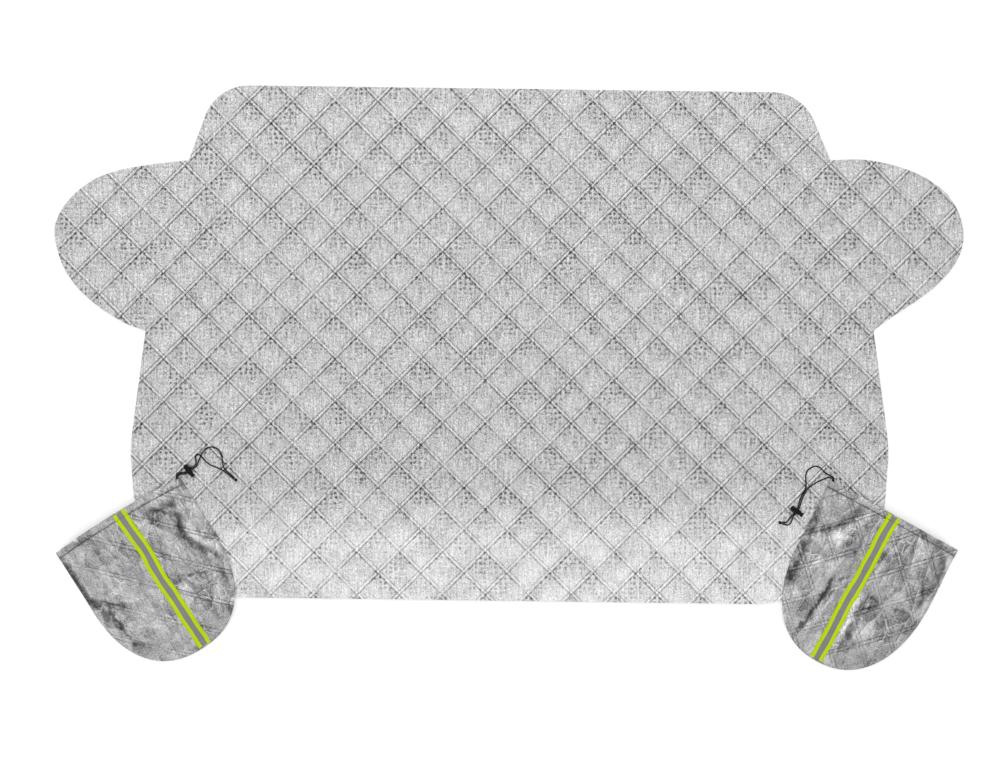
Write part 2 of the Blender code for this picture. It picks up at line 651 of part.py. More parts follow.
def strand_route(pouch, strand):
    """A strand's route from inside the hem, through the lock, to the knot, in world coordinates."""
    ex, ey, ez = exit_place(pouch)
    near = -1 if strand == "a" else 1
    before, after = ROUTES[pouch.side][strand]
    crown = CROWN_Z

    def lay(route):
        return [pouch.world(ex + x * MM, ey + y * MM, crown + z * MM) for x, y, z in route]

    # strand a is the one further from the mouth's end
    offset = near * -pouch.sign * STRAND_PITCH / 2
    hem = [pouch.world(ex + offset, ey - EXIT_DEPTH + GAP, ez), pouch.world(ex + offset, ey - EXIT_DEPTH / 2, ez),
           pouch.world(ex + offset, ey, ez)]
    frame = lock_frame(pouch)
    way = LOCKS[pouch.side][3]
    station = CORD_STATION + near * STRAND_PITCH / 2
    lock = [frame @ Vector((station, way * y, 0)) for y in (-0.0085, -0.003, 0.003, 0.0085)]
    kx, ky, heading = KNOTS[pouch.side]
    k = pouch.world(ex + kx * MM, ey + ky * MM, crown + GAP + KNOT_DIAMETER / 2)
    a = math.radians(heading + pouch.turn)
    ahead, across = Vector((math.cos(a), math.sin(a), 0)), Vector((-math.sin(a), math.cos(a), 0))
    beside = k + across * (near * STRAND_PITCH / 2)
    tail = [beside - ahead * 0.006 - Vector((0, 0, 0.6 * MM)), beside - ahead * GAP]
    return hem + lay(before) + lock + lay(after) + tail


def make_knot(pouch, root, look):
    """The knot that joins both strands' ends."""
    ex, ey, _ = exit_place(pouch)
    x, y, heading = KNOTS[pouch.side]
    r = KNOT_DIAMETER / 2
    profile = [(0, 0), (0, 0.84 * r), (0.12 * KNOT_LENGTH, 0.97 * r), (0.3 * KNOT_LENGTH, r),
               (0.42 * KNOT_LENGTH, 0.9 * r), (0.54 * KNOT_LENGTH, r), (0.74 * KNOT_LENGTH, 0.86 * r),
               (0.92 * KNOT_LENGTH, 0.5 * r), (KNOT_LENGTH, 0)]
    knot = add_mesh(f"{pouch.side}_cord_knot", *lathe(profile, 14), look, root, smooth=50)
    place = pouch.world(ex + x * MM, ey + y * MM, CROWN_Z + GAP + r)
    knot.matrix_local = Matrix.Translation(place) @ Matrix.Rotation(math.radians(heading + pouch.turn), 4, "Z")


def make_drawcord(pouch, root, look):
    for strand in ("a", "b"):
        route = smooth_curve([tuple(p) for p in strand_route(pouch, strand)])
        line = evenly(route, 2.2 * CORD)
        add_curve(f"{pouch.side}_drawcord_{strand}", [tuple(p) for p in line], CORD / 2, 2, look, root)
    make_knot(pouch, root, look)


def main():
    for old in list(bpy.data.objects):
        bpy.data.objects.remove(old, do_unlink=True)
    foil = material("silver_foil", (0.50, 0.50, 0.51), 0.45, 0.6)
    crumpled = material("crumpled_foil", (0.33, 0.33, 0.34), 0.45, 0.6)
    lime = material("lime_tape", (0.48, 0.72, 0.0), 0.7)
    silver = material("reflective_strip", (0.22, 0.21, 0.20), 0.5, 0.2)
    black = material("black_plastic", (0.01, 0.01, 0.011), 0.4)
    cord = material("black_cord", (0.012, 0.012, 0.013), 0.85)
    steel = material("spring_steel", (0.55, 0.55, 0.56), 0.3, 1.0)
    root = add_object("frost_cover", None)
    make_cover(root, foil)
    for side in ("left", "right"):
        pouch = Pouch(side)
        bag = make_pouch(pouch, root, crumpled)
        cut_exit(pouch, bag, root)
        make_tape(pouch, f"{side}_lime_tape", TAPE_WIDTH, GAP, TAPE_THICKNESS, lime, root)
        make_tape(pouch, f"{side}_reflective_strip", STRIP_WIDTH, 2 * GAP + TAPE_THICKNESS, STRIP_THICKNESS,
                  silver, root)
        make_lock(pouch, root, black, steel)
        make_drawcord(pouch, root, cord)


main()
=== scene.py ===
"""Looks of the windshield frost cover, seen from straight above as it lies flat on a white floor.

Places are in metres in the CAD frame: +Z up, the roof edge towards +Y, the underside at z = 0.
The shapes repeat the named values of the part's source.
"""

import math

import bmesh
import bpy
import numpy as np
from mathutils import Matrix, Vector, noise
from mathutils.bvhtree import BVHTree
from mathutils.geometry import delaunay_2d_cdt


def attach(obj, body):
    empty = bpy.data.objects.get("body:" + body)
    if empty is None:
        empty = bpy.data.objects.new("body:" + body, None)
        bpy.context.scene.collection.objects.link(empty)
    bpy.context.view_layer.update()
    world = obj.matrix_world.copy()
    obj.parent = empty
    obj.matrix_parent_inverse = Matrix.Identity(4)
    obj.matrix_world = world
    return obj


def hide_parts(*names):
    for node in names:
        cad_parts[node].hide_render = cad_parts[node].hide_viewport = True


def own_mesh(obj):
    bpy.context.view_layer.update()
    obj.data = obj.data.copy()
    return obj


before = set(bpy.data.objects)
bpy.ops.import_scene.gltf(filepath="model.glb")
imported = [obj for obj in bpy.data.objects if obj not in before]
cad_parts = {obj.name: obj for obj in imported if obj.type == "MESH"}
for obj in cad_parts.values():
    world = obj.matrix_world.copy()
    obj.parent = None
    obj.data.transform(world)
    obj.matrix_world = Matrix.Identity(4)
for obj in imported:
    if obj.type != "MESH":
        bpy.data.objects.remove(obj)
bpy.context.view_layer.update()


MM = 0.001
GAP = 0.3 * MM

# Quilted cover, seen from above
ROOF_CORNER_X = 0.692
ROOF_Y = 0.687
ROOF_CORNER_RADIUS = 0.110
SHOULDER_X = 0.758
SHOULDER_Y = 0.518
ARMPIT_X = 0.860
ARMPIT_Y = 0.116
ROOT_RADIUS = 0.008
EAR_REACH = 0.277
HIP_X = 0.897
HIP_Y = -0.165
HIP_RADIUS = 0.350
BONNET_CORNER_X = 0.872
BONNET_Y = -0.523
BONNET_CORNER_RADIUS = 0.120
BONNET_BENDS = {"left": 0.645, "right": 0.597}
BONNET_BEND_RADIUS = 0.050
BONNET_RISE = 0.058
EDGE_SLOPE = -0.013

# Its quilting
QUILT_PITCH = 0.0717
QUILT_SHIFT = (0.033, 0.042)
GROOVE_Z = 3.0 * MM
CROWN_Z = 6.5 * MM
SEAM_HALF = 0.0042  # from the middle of a double seam to each of its two lines
# Where the fine mesh has its lines, from the middle of a seam, and how full the quilting is there
QUILT_STEPS = (0, 0.0022, 0.0042, 0.0064, 0.012, 0.020, 0.0285, QUILT_PITCH / 2)
QUILT_FILL = (0.91, 0.86, 0.60, 0.84, 0.92, 0.97, 0.99, 1.0)
COVER_EDGE_STEP = 0.0055  # between the points of the cover's edge
COVER_EDGE_MARGIN = 1.2 * MM  # along the edge, kept free of the fine mesh's points

# Mirror pouches
POUCH_HALF_WIDTH = 0.172
POUCH_STRAIGHT = 0.150
POUCH_WALL = 2.2 * MM
POUCH_SEAM = 4.0 * MM
POUCH_HEIGHT = 22.5 * MM
POUCH_RISE = 0.25
FOLD_HEIGHT = 3.2 * MM
CREASE_HEIGHT = 2.8 * MM
HEM_WIDTH = 0.016
HEM_THICKNESS = 6.6 * MM
HEM_STITCH = 1.7 * MM
HEM_GROOVE = 0.8 * MM
DRAPE_START = 0.040
DRAPE_END = 0.105
BOW_DEPTH = 0.050  # how far into the pouch the bow of its mouth fades out
PUFF_SIDES = 0.36  # the shares of the half width and of the round end over which the pouch rises
PUFF_END = 0.42
FOLD_JITTER = 7.0 * MM  # how far the edges of the drawn folds wander
EDGE_TONE = 0.004

# High-visibility tapes
TAPE_WIDTH = 0.032
TAPE_THICKNESS = 0.9 * MM
STRIP_WIDTH = 0.0132
STRIP_THICKNESS = 0.5 * MM
TAPE_END = 0.004
TAPE_STEP = 0.0035
TAPE_MARGIN = 0.0022  # from the tape's edge to its stitches
STITCH_LENGTH = 0.0034
STITCH_GAP = 0.0014
THREAD_RADIUS = 0.00042
HEM_THREAD_RADIUS = 0.0006
THREAD_LIFT = 0.1 * MM

# Looks
EMBOSS_PITCH = 0.0118
FAR_LINES = 40  # how many quilting lines away the count of lines starts, so that it is never negative
COVER_GREY = (0.52, 0.52, 0.525)
POUCH_GREY = {"left": (0.425, 0.425, 0.43), "right": (0.40, 0.40, 0.405)}
CRUMPLE_SLANT = {"left": 0.25, "right": -0.2}
WADDING_LAYER = 0.0013
BRAID_PITCH = 0.0026
BRAID_STRANDS = 6

# Light and camera
FLOOR_GLOW = 0.225  # seen by the camera and in reflections alone
SKY_LEVELS = (0.60, 1.06)  # at the horizon and overhead
SKY_STRENGTH = 0.97
KEY_PLACE = (-0.9, 4.3, 6.2)
KEY_SIZE = 4.0
KEY_POWER = 75
CAMERA_PLACE = (-0.0225, -0.0012, 6.5)
CAMERA_REACH = 30
VIEW_WIDTH = 2.365
SENSOR = 36

# Drawcords and their locks
CORD = 3.0 * MM
CORD_STEP = 1.4 * MM
STRAND_PITCH = 3.6 * MM
EXIT_INSET = 0.007
EXIT_DEPTH = 0.012
CORD_CLEARANCE = 0.3 * MM
LOCK_DIAMETER = 0.012
LOCK_LENGTH = 0.034
LOCK_DOME = 0.0035
LOCK_SHARP = 32
LOCK_WALL = 1.6 * MM
LOCK_END_WALL = 2.6 * MM
BARREL_LENGTH = 0.0258
CAP_THICKNESS = 0.0037
CAP_DIAMETER = 0.0112
STEM_CLEARANCE = 0.3 * MM
STEM_WEB = 0.002
SPRING_WIRE = 0.5 * MM
SPRING_TURNS = 4.5
SPRING_POINTS = 180
CORD_STATION = 0.016
LOCK_TRAVEL = 0.004
KNOT_LENGTH = 0.009
KNOT_DIAMETER = 0.0084
KNOT_STRAND = 1.25 * MM
KNOT_POINTS = 72

POUCHES = {
    "left": dict(sign=-1, out=0.0277, up=0.2021, turn=31.1, depth=0.372, bow=0.008, lean=0.003,
                 roundness=2.35, fold_phase=0.4),
    "right": dict(sign=1, out=0.0114, up=0.2021, turn=-28.6, depth=0.390, bow=0.001, lean=0.005,
                  roundness=2.25, fold_phase=2.1),
}
EARS = {
    "left": ((0.41, 0.965), (0.75, 0.895), (0.95, 0.752), (1.0, 0.61), (0.92, 0.465), (0.78, 0.325),
             (0.54, 0.18), (0.18, 0.04)),
    "right": ((0.31, 1.002), (0.70, 0.926), (0.94, 0.783), (0.985, 0.60), (0.922, 0.47), (0.785, 0.352),
              (0.540, 0.22), (0.168, 0.072)),
}
TAPE_PATHS = {
    "left": ((5.5, 12), (7.5, -16), (10, -52), (13.5, -92), (14.2, -112), (12.2, -140), (12.2, -192),
             (14.5, -216), (16.2, -262), (17, -320), (17.2, -385)),
    "right": ((0.5, 8), (-1.0, -20), (-2.6, -52), (-1.6, -90), (-1.2, -130), (-1.0, -180), (-3.2, -222),
              (-3.0, -262), (-1.4, -300), (0.4, -340), (1.0, -400)),
}
# Folds of each pouch: painted shade (below 0) or painted highlight (above 0), half width and height in mm,
# and a line in the pouch's frame
FOLDS = {
    "left": (
        (-0.32, 15, -2.2, ((59, -27), (99, -38), (141, -40))),
        (-0.36, 14, -2.6, ((127, -47), (120, -93), (112, -131), (131, -167), (152, -195))),
        (-0.30, 7, -2.0, ((152, -180), (151, -217), (145, -252), (140, -278))),
        (-0.26, 4.5, -2.0, ((35, -200), (81, -207), (115, -221), (142, -239))),
        (-0.40, 12, -1.0, ((-168, -12), (-164, -74), (-160, -144), (-155, -170))),
        (-0.36, 8, -2.4, ((-162, -141), (-127, -166), (-82, -197))),
        (-0.42, 6.5, -2.6, ((-134, -170), (-129, -205), (-130, -238), (-123, -272))),
        (-0.34, 15, -2.0, ((-123, -272), (-103, -301))),
        (-0.20, 4, -1.6, ((118, -244), (91, -253), (66, -259))),
        (-0.22, 4, -1.6, ((131, -243), (96, -273), (84, -308), (79, -343))),
        (-0.14, 12, 1.0, ((146, -60), (147, -95), (152, -130))),
        (-0.20, 9, 0, ((-166, -5), (-120, -6), (-70, -8))),
        (0.14, 8, 2.0, ((29, -13), (51, -60), (59, -103))),
        (0.14, 8, 2.0, ((-130, -150), (-90, -154))),
        (0.12, 6, 1.6, ((-122, -179), (-114, -222), (-119, -258))),
        (0.12, 10, 1.8, ((57, -198), (88, -238), (119, -270))),
        (0.10, 10, 1.6, ((-129, 6), (-116, -44), (-133, -93))),
    ),
    "right": (
        (-0.40, 11, -2.6, ((-158, -67), (-154, -112), (-149, -159), (-148, -208), (-141, -246),
                           (-124, -281))),
        (-0.34, 11, -2.6, ((-66, -10), (-80, -52), (-100, -83), (-130, -120))),
        (0.36, 14, 3.0, ((-45, -12), (-62, -50), (-79, -88), (-92, -128))),
        (-0.26, 6, -2.0, ((-31, -21), (-38, -53), (-40, -91), (-32, -141))),
        (-0.52, 5.5, -3.0, ((-58, -184), (-55, -227), (-62, -289), (-68, -365))),
        (-0.28, 4.5, -2.0, ((-18, -172), (-42, -204), (-48, -240), (-50, -274))),
        (0.20, 6, 2.2, ((-41, -191), (-40, -232), (-43, -279), (-51, -340))),
        (-0.26, 6, -2.0, ((26, -76), (25, -109), (14, -157))),
        (0.40, 8, 2.6, ((19, -199), (22, -247), (24, -301), (25, -349))),
        (-0.26, 7, -1.8, ((38, -203), (42, -248), (43, -298), (41, -345))),
        (-0.22, 8, 0, ((60, -6), (110, -7), (166, -7))),
        (-0.34, 6, -2.0, ((28, -190), (66, -207), (40, -234))),
        (0.28, 4.5, 1.8, ((75, -193), (76, -164), (76, -133))),
        (-0.32, 5, -2.0, ((96, -194), (126, -188), (155, -195))),
        (0.14, 8, 1.8, ((61, -28), (77, -65))),
        (-0.26, 12, -1.2, ((150, -24), (163, -60), (166, -110), (166, -160))),
        (-0.24, 7, -1.6, ((128, -90), (148, -128), (160, -170))),
        (-0.22, 8, -1.8, ((30, -292), (59, -314), (45, -350))),
        (0.14, 10, 1.8, ((-89, -172), (-114, -202), (-124, -244))),
        (-0.18, 7, -1.6, ((-152, -124), (-119, -93))),
        (0.12, 8, 1.6, ((56, -233), (82, -251), (82, -281))),
    ),
}
# Phases of each pouch's own quilting lines in its frame, and how well each of the two families shows
POUCH_QUILT = {"left": ((0.0055, 0.0650), (0.9, 0.25)), "right": ((0.0520, 0.0194), (0.8, 1.0))}
LOCKS = {"left": (33.6, 3.0, -83.1, 1), "right": (-42.0, -101.6, -7.3, -1)}
KNOTS = {"left": (115.3, -68.3, -71.9), "right": (-59.3, -142.7, 198.1)}
ROUTES = {
    "left": {
        "a": (((1.3, 7.5, 3.8), (8.6, 10.5, 4.4), (17.2, 7.6, 5.5)),
              ((47.0, 6.4, 5.8), (52.8, 7.4, 4.6), (57.6, 11.2, 3.2), (60.2, 17.8, 2.1), (62.7, 23.6, 1.8),
               (67.8, 25.7, 1.8), (72.9, 23.6, 1.8), (75.4, 17.8, 1.8), (76.8, 7.6, 1.8), (80.0, -4.4, 1.8),
               (88.4, -18.4, 1.8), (99.6, -33.8, 1.8), (107.2, -50.4, 1.8))),
        "b": (((3.8, 5.0, 3.8), (8.8, 7.0, 4.4), (16.6, 3.8, 5.6)),
              ((47.5, 2.6, 6.2), (54.6, 3.6, 5.8), (60.8, 7.8, 5.5), (66.6, 12.6, 5.3), (73.4, 17.2, 5.3),
               (81.6, 22.9, 4.0), (90.0, 26.2, 2.4), (98.5, 26.6, 1.8), (109.2, 22.4, 1.8),
               (116.6, 12.6, 1.8), (118.4, 0.6, 1.8), (114.8, -13.4, 1.8), (109.3, -25.6, 1.8),
               (107.0, -36.2, 1.8), (110.9, -49.2, 1.8))),
    },
    "right": {
        "a": (((-1.3, 7.5, 3.3), (-8.6, 10.5, 2.7), (-17.8, 9.8, 2.0), (-26.6, 10.6, 1.8), (-35.0, 13.2, 1.8),
               (-44.8, 15.2, 1.8), (-54.4, 12.2, 1.8), (-61.6, 3.6, 1.8),
               (-65.2, -6.7, 1.8), (-63.0, -17.6, 1.8), (-56.8, -28.4, 1.8), (-50.6, -39.0, 1.8),
               (-48.4, -48.4, 1.8), (-48.8, -60.4, 2.0), (-48.2, -74.0, 3.6)),
              ((-46.6, -114.6, 5.7), (-47.6, -121.0, 4.2), (-48.9, -127.0, 2.7), (-49.4, -132.4, 2.2),
               (-50.8, -136.5, 3.0))),
        "b": (((-3.8, 5.0, 3.2), (-8.8, 7.0, 2.6), (-14.0, 4.6, 2.0), (-18.6, -1.0, 1.8), (-24.0, -7.2, 1.8),
               (-31.0, -16.2, 1.8), (-37.6, -27.4, 1.8), (-42.6, -38.4, 1.8), (-44.5, -48.4, 1.8),
               (-44.9, -60.4, 2.0), (-43.8, -74.0, 3.6)),
              ((-42.9, -114.8, 5.8), (-42.4, -120.6, 4.4), (-41.4, -127.2, 2.8), (-41.0, -133.2, 1.9),
               (-43.0, -138.8, 2.1), (-47.6, -141.6, 3.0))),
    },
}


# ---------------------------------------------------------------- shapes

def smooth_curve(points, per_span=12):
    """Points along a centripetal spline through the given points."""
    p = np.array(points, float)
    p = np.vstack([2 * p[0] - p[1], p, 2 * p[-1] - p[-2]])
    curve = []
    for k in range(1, len(p) - 2):
        q = p[k - 1:k + 3]
        knots = np.concatenate([[0], np.cumsum(np.sqrt(np.linalg.norm(np.diff(q, axis=0), axis=1)))])
        for t in np.linspace(knots[1], knots[2], per_span, endpoint=False):
            row = list(q)
            for level in (1, 2, 3):
                row = [((knots[i + level] - t) * row[i] + (t - knots[i]) * row[i + 1])
                       / (knots[i + level] - knots[i]) for i in range(len(row) - 1)]
            curve.append(row[0])
    return np.array(curve + [p[-2]])


def lengths(points):
    """How far along a line each of its points lies."""
    return np.concatenate([[0], np.cumsum(np.linalg.norm(np.diff(points, axis=0), axis=1))])


def headings(points):
    """A line's direction at each of its points, of length 1."""
    run = np.gradient(points, axis=0)
    return run / np.linalg.norm(run, axis=1)[:, None]


def sideways(line):
    """The direction to the left of a flat line at each of its points."""
    run = headings(line)
    return np.stack([-run[:, 1], run[:, 0]], axis=1)


def evenly(points, step):
    """The same line, with its points about step apart."""
    points = np.asarray(points, float)
    along = lengths(points)
    at = np.linspace(0, along[-1], max(2, round(along[-1] / step) + 1))
    return np.stack([np.interp(at, along, points[:, k]) for k in range(points.shape[1])], axis=1)


def filleted(corners, degrees=4):
    """An outline from (x, y, fillet radius) corners."""
    outline = []
    for i, (x, y, radius) in enumerate(corners):
        here = Vector((x, y))
        before = Vector(corners[i - 1][:2]) - here
        after = Vector(corners[(i + 1) % len(corners)][:2]) - here
        if not radius:
            outline.append((x, y))
            continue
        between = before.angle(after)
        reach = min(radius / math.tan(between / 2), 0.49 * before.length, 0.49 * after.length)
        radius = reach * math.tan(between / 2)
        middle = here + (before.normalized() + after.normalized()).normalized() * (
            radius / math.sin(between / 2))
        start = here + before.normalized() * reach - middle
        end = here + after.normalized() * reach - middle
        sweep = math.atan2(start.x * end.y - start.y * end.x, start.dot(end))
        steps = max(2, math.ceil(abs(math.degrees(sweep)) / degrees))
        for k in range(steps + 1):
            spoke = start.copy()
            spoke.rotate(Matrix.Rotation(sweep * k / steps, 2))
            outline.append(tuple(middle + spoke))
    return outline


def ear(side):
    """The corners of an ear's edge, from its upper root to its lower one."""
    sign = POUCHES[side]["sign"]
    shape = []
    for out, up in ((0, 1), *EARS[side], (0, 0)):
        root = ARMPIT_X + (SHOULDER_X - ARMPIT_X) * up
        shape.append((sign * (root + out * EAR_REACH), ARMPIT_Y + (SHOULDER_Y - ARMPIT_Y) * up))
    return [(x, y, 0) for x, y in smooth_curve(shape, 9)[1:-1]]


def cover_outline():
    def bonnet(x):
        return BONNET_Y + x * EDGE_SLOPE

    def half(sign):
        side = "left" if sign < 0 else "right"
        return [
            (sign * ROOF_CORNER_X, ROOF_Y + sign * ROOF_CORNER_X * EDGE_SLOPE, ROOF_CORNER_RADIUS),
            (sign * SHOULDER_X, SHOULDER_Y, ROOT_RADIUS),
            *ear(side),
            (sign * ARMPIT_X, ARMPIT_Y, ROOT_RADIUS),
            (sign * HIP_X, HIP_Y, HIP_RADIUS),
            (sign * BONNET_CORNER_X, bonnet(sign * BONNET_CORNER_X) + BONNET_RISE, BONNET_CORNER_RADIUS),
            (sign * BONNET_BENDS[side], bonnet(sign * BONNET_BENDS[side]), BONNET_BEND_RADIUS),
        ]
    left, right = half(-1), half(1)
    return filleted([right[0]] + left + right[:0:-1])


OUTLINE = np.array(cover_outline())


def edge_distance(points):
    """How far each place lies outside the cover's edge; inside it the distance is negative."""
    a, b = OUTLINE, np.roll(OUTLINE, -1, axis=0)
    run = b - a
    size = np.maximum((run * run).sum(1), 1e-15)
    far = np.empty(len(points))
    for start in range(0, len(points), 4000):
        p = points[start:start + 4000, None, :]
        t = np.clip(((p - a) * run).sum(2) / size, 0, 1)
        near = np.linalg.norm(p - a - t[..., None] * run, axis=2).min(1)
        rise = np.where(run[:, 1] == 0, 1e-12, run[:, 1])
        crosses = ((a[:, 1] > p[..., 1]) != (b[:, 1] > p[..., 1])) & (
            p[..., 0] < a[:, 0] + (p[..., 1] - a[:, 1]) * run[:, 0] / rise)
        far[start:start + 4000] = np.where(crosses.sum(1) % 2, -near, near)
    return far


def ease(t):
    """A smooth step from 0 to 1."""
    t = np.clip(t, 0.0, 1.0)
    return t * t * (3 - 2 * t)


def drape(past):
    """How high a pouch's underside lies at a distance past the cover's edge."""
    return (CROWN_Z + GAP) * (1 - ease((past - DRAPE_START) / (DRAPE_END - DRAPE_START)))


def link_new(name, data):
    """An object for a mesh, lamp or camera, put in the scene."""
    made = bpy.data.objects.new(name, data)
    bpy.context.collection.objects.link(made)
    return made


def face_out(mesh):
    """Turns the faces of a closed mesh outwards."""
    shell = bmesh.new()
    shell.from_mesh(mesh)
    bmesh.ops.recalc_face_normals(shell, faces=shell.faces)
    if shell.calc_volume(signed=True) < 0:
        bmesh.ops.reverse_faces(shell, faces=shell.faces)
    shell.to_mesh(mesh)
    shell.free()


def soften(mesh, degrees):
    mesh.shade_smooth()
    mesh.set_sharp_from_angle(angle=math.radians(degrees))


def piece(name, points, faces, looks, body="cover", uv=None, shade=None, look_of=None, sharp=60, node=None):
    """A mesh object riding on a body. uv holds a pair for each point, and shade a number."""
    mesh = bpy.data.meshes.new(name)
    mesh.from_pydata([tuple(map(float, p)) for p in points], [], faces)
    if uv is not None:
        corners = np.empty(len(mesh.loops), int)
        mesh.loops.foreach_get("vertex_index", corners)
        layer = mesh.uv_layers.new(name="plan")
        layer.data.foreach_set("uv", np.asarray(uv, float)[corners].ravel())
    if shade is not None:
        tones = mesh.attributes.new("shade", "FLOAT", "POINT")
        tones.data.foreach_set("value", np.asarray(shade, np.float32))
    for look in looks:
        mesh.materials.append(look)
    if look_of is not None:
        mesh.polygons.foreach_set("material_index", np.asarray(look_of, np.int32))
    face_out(mesh)
    soften(mesh, sharp)
    made = link_new(name, mesh)
    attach(made, body)
    if node:
        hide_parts(node)
    return made


def tube(path, radius, segments=14):
    """Points, faces and (turn, length) pairs of a round cord along a path, with closed ends."""
    path = np.asarray(path, float)
    run, along = headings(path), lengths(path)
    side = np.cross(run[0], (0, 0, 1))
    if np.linalg.norm(side) < 1e-3:
        side = np.cross(run[0], (0, 1, 0))
    points, pairs = [], []
    for p, t, s in zip(path, run, along):
        side = side - t * side.dot(t)
        side /= np.linalg.norm(side)
        up = np.cross(t, side)
        for k in range(segments + 1):
            a = 2 * math.pi * k / segments
            points.append(p + radius * (math.cos(a) * side + math.sin(a) * up))
            pairs.append((k / segments, s))
    ring = segments + 1
    faces = [(i * ring + k, i * ring + k + 1, (i + 1) * ring + k + 1, (i + 1) * ring + k)
             for i in range(len(path) - 1) for k in range(segments)]
    for row in (0, len(path) - 1):
        points.append(path[row])
        pairs.append((0.5, along[row]))
        tip = len(points) - 1
        faces += [(row * ring + k, row * ring + k + 1, tip) for k in range(segments)]
    return points, faces, pairs


# ---------------------------------------------------------------- materials

class Look:
    """A material or world whose sockets take numbers, colours or other nodes' outputs."""

    def __init__(self, name, store="materials", shader="Principled BSDF", **values):
        self.made = getattr(bpy.data, store).new(name)
        self.made.use_nodes = True
        self.nodes, self.links = self.made.node_tree.nodes, self.made.node_tree.links
        self.shader = self.nodes[shader]
        self.set(self.shader, values)

    def done(self, **values):
        """The material or world, once these sockets of its shader are set."""
        self.set(self.shader, values)
        return self.made

    def set(self, node, values):
        for socket, value in values.items():
            socket = node.inputs[socket.replace("_", " ") if isinstance(socket, str) else socket]
            if isinstance(value, bpy.types.NodeSocket):
                self.links.new(value, socket)
            else:
                socket.default_value = (*value, 1.0) if socket.type == "RGBA" else value

    def add(self, kind, values, out=0, **settings):
        node = self.nodes.new(kind)
        for key, value in settings.items():
            setattr(node, key, value)
        self.set(node, values)
        return node.outputs[out]

    def math(self, operation, *values, clamp=False):
        return self.add("ShaderNodeMath", dict(enumerate(values)), operation=operation, use_clamp=clamp)

    def times(self, a, b):
        return self.math("MULTIPLY", a, b)

    def plus(self, a, b, clamp=False):
        return self.math("ADD", a, b, clamp=clamp)

    def most(self, a, b):
        return self.math("MAXIMUM", a, b)

    def centred(self, value):
        """A value from 0 to 1 as what it is above or below the middle."""
        return self.math("SUBTRACT", value, 0.5)

    def place(self, out="Object"):
        return self.add("ShaderNodeTexCoord", {}, out=out)

    def plan(self):
        return self.add("ShaderNodeUVMap", {}, uv_map="plan")

    def shade(self):
        return self.add("ShaderNodeAttribute", {}, out="Fac", attribute_name="shade")

    def total(self, *terms):
        """The sum of (value, share) pairs and plain values."""
        whole = None
        for term in terms:
            value = self.times(*term) if isinstance(term, tuple) else term
            whole = value if whole is None else self.plus(whole, value)
        return whole

    def grey(self, level, colour):
        level = self.add("ShaderNodeCombineColor", {0: level, 1: level, 2: level})
        return self.mix(1.0, colour, level, "MULTIPLY")

    def split(self, vector):
        node = self.nodes.new("ShaderNodeSeparateXYZ")
        self.links.new(vector, node.inputs[0])
        return node.outputs

    def stretch(self, vector, scale, rotation=(0, 0, 0)):
        return self.add("ShaderNodeMapping", {"Vector": vector, "Scale": scale, "Rotation": rotation})

    def noise(self, vector, scale, detail=2.0, rough=0.5, warp=0.0, out=0):
        return self.add("ShaderNodeTexNoise", {"Vector": vector, "Scale": scale, "Detail": detail,
                                               "Roughness": rough, "Distortion": warp}, out=out)

    def cells(self, vector, scale, feature="F1", out="Distance", random=1.0, flat=False):
        return self.add("ShaderNodeTexVoronoi", {"Vector": vector, "Scale": scale, "Randomness": random},
                        out=out, feature=feature, voronoi_dimensions="2D" if flat else "3D")

    def remap(self, value, low, high, to_low=0.0, to_high=1.0, smooth=False):
        return self.add("ShaderNodeMapRange", {"Value": value, "From Min": low, "From Max": high,
                                               "To Min": to_low, "To Max": to_high},
                        interpolation_type="SMOOTHSTEP" if smooth else "LINEAR")

    def mix(self, share, a, b, kind="MIX"):
        node = self.nodes.new("ShaderNodeMix")
        node.data_type, node.blend_type = "RGBA", kind
        self.set(node, {0: share, 6: a, 7: b})
        return node.outputs[2]

    def bump(self, height, distance, normal=None):
        values = {"Strength": 1.0, "Distance": distance, "Height": height}
        if normal:
            values["Normal"] = normal
        return self.add("ShaderNodeBump", values)

    def diagonals(self, x, y, shift):
        """How far a place lies across each family of the quilting's lines, from a line beyond the edge."""
        for p, q, offset in ((x, y, shift[0]), (y, self.times(x, -1.0), shift[1])):
            yield self.plus(self.times(self.plus(p, q), 1 / math.sqrt(2)), FAR_LINES * QUILT_PITCH - offset)

    def seams(self, x, y, shift, half, width, shares=(1.0, 1.0)):
        """How near a place is to a line of the double seams: 1 on it, 0 some millimetres off."""
        near = []
        for across, share in zip(self.diagonals(x, y, shift), shares):
            to_seam = self.math("PINGPONG", across, QUILT_PITCH / 2)
            to_line = self.math("ABSOLUTE", self.math("SUBTRACT", to_seam, half))
            near.append(self.remap(to_line, 0.0, width, share, 0.0, smooth=True))
        return self.most(*near)

    def speckle(self, at, dots, grain, darker=0.0):
        """The embossed foil's tone: dark and pale dots in loose rows, and a fine grain. More of the dots are
        dark where darker is raised; the cover raises it for painted shade.
        """
        cells = self.cells(at, 1 / EMBOSS_PITCH, random=0.40, flat=True)
        near = self.remap(cells, 0.14, 0.42, 1.0, 0.0, smooth=True)
        dark = self.remap(self.plus(self.noise(at, 12, 3.0, 0.65), darker), 0.38, 0.70)
        fine, coarse = self.noise(at, 520, 1.0), self.noise(at, 230, 1.0)
        tone = self.total((self.times(near, dark), -dots),
                          (self.times(near, self.math("SUBTRACT", 1.0, dark)), 0.35 * dots),
                          (self.centred(fine), 2.5 * grain), (self.centred(coarse), 0.5 * grain))
        return tone, near, fine

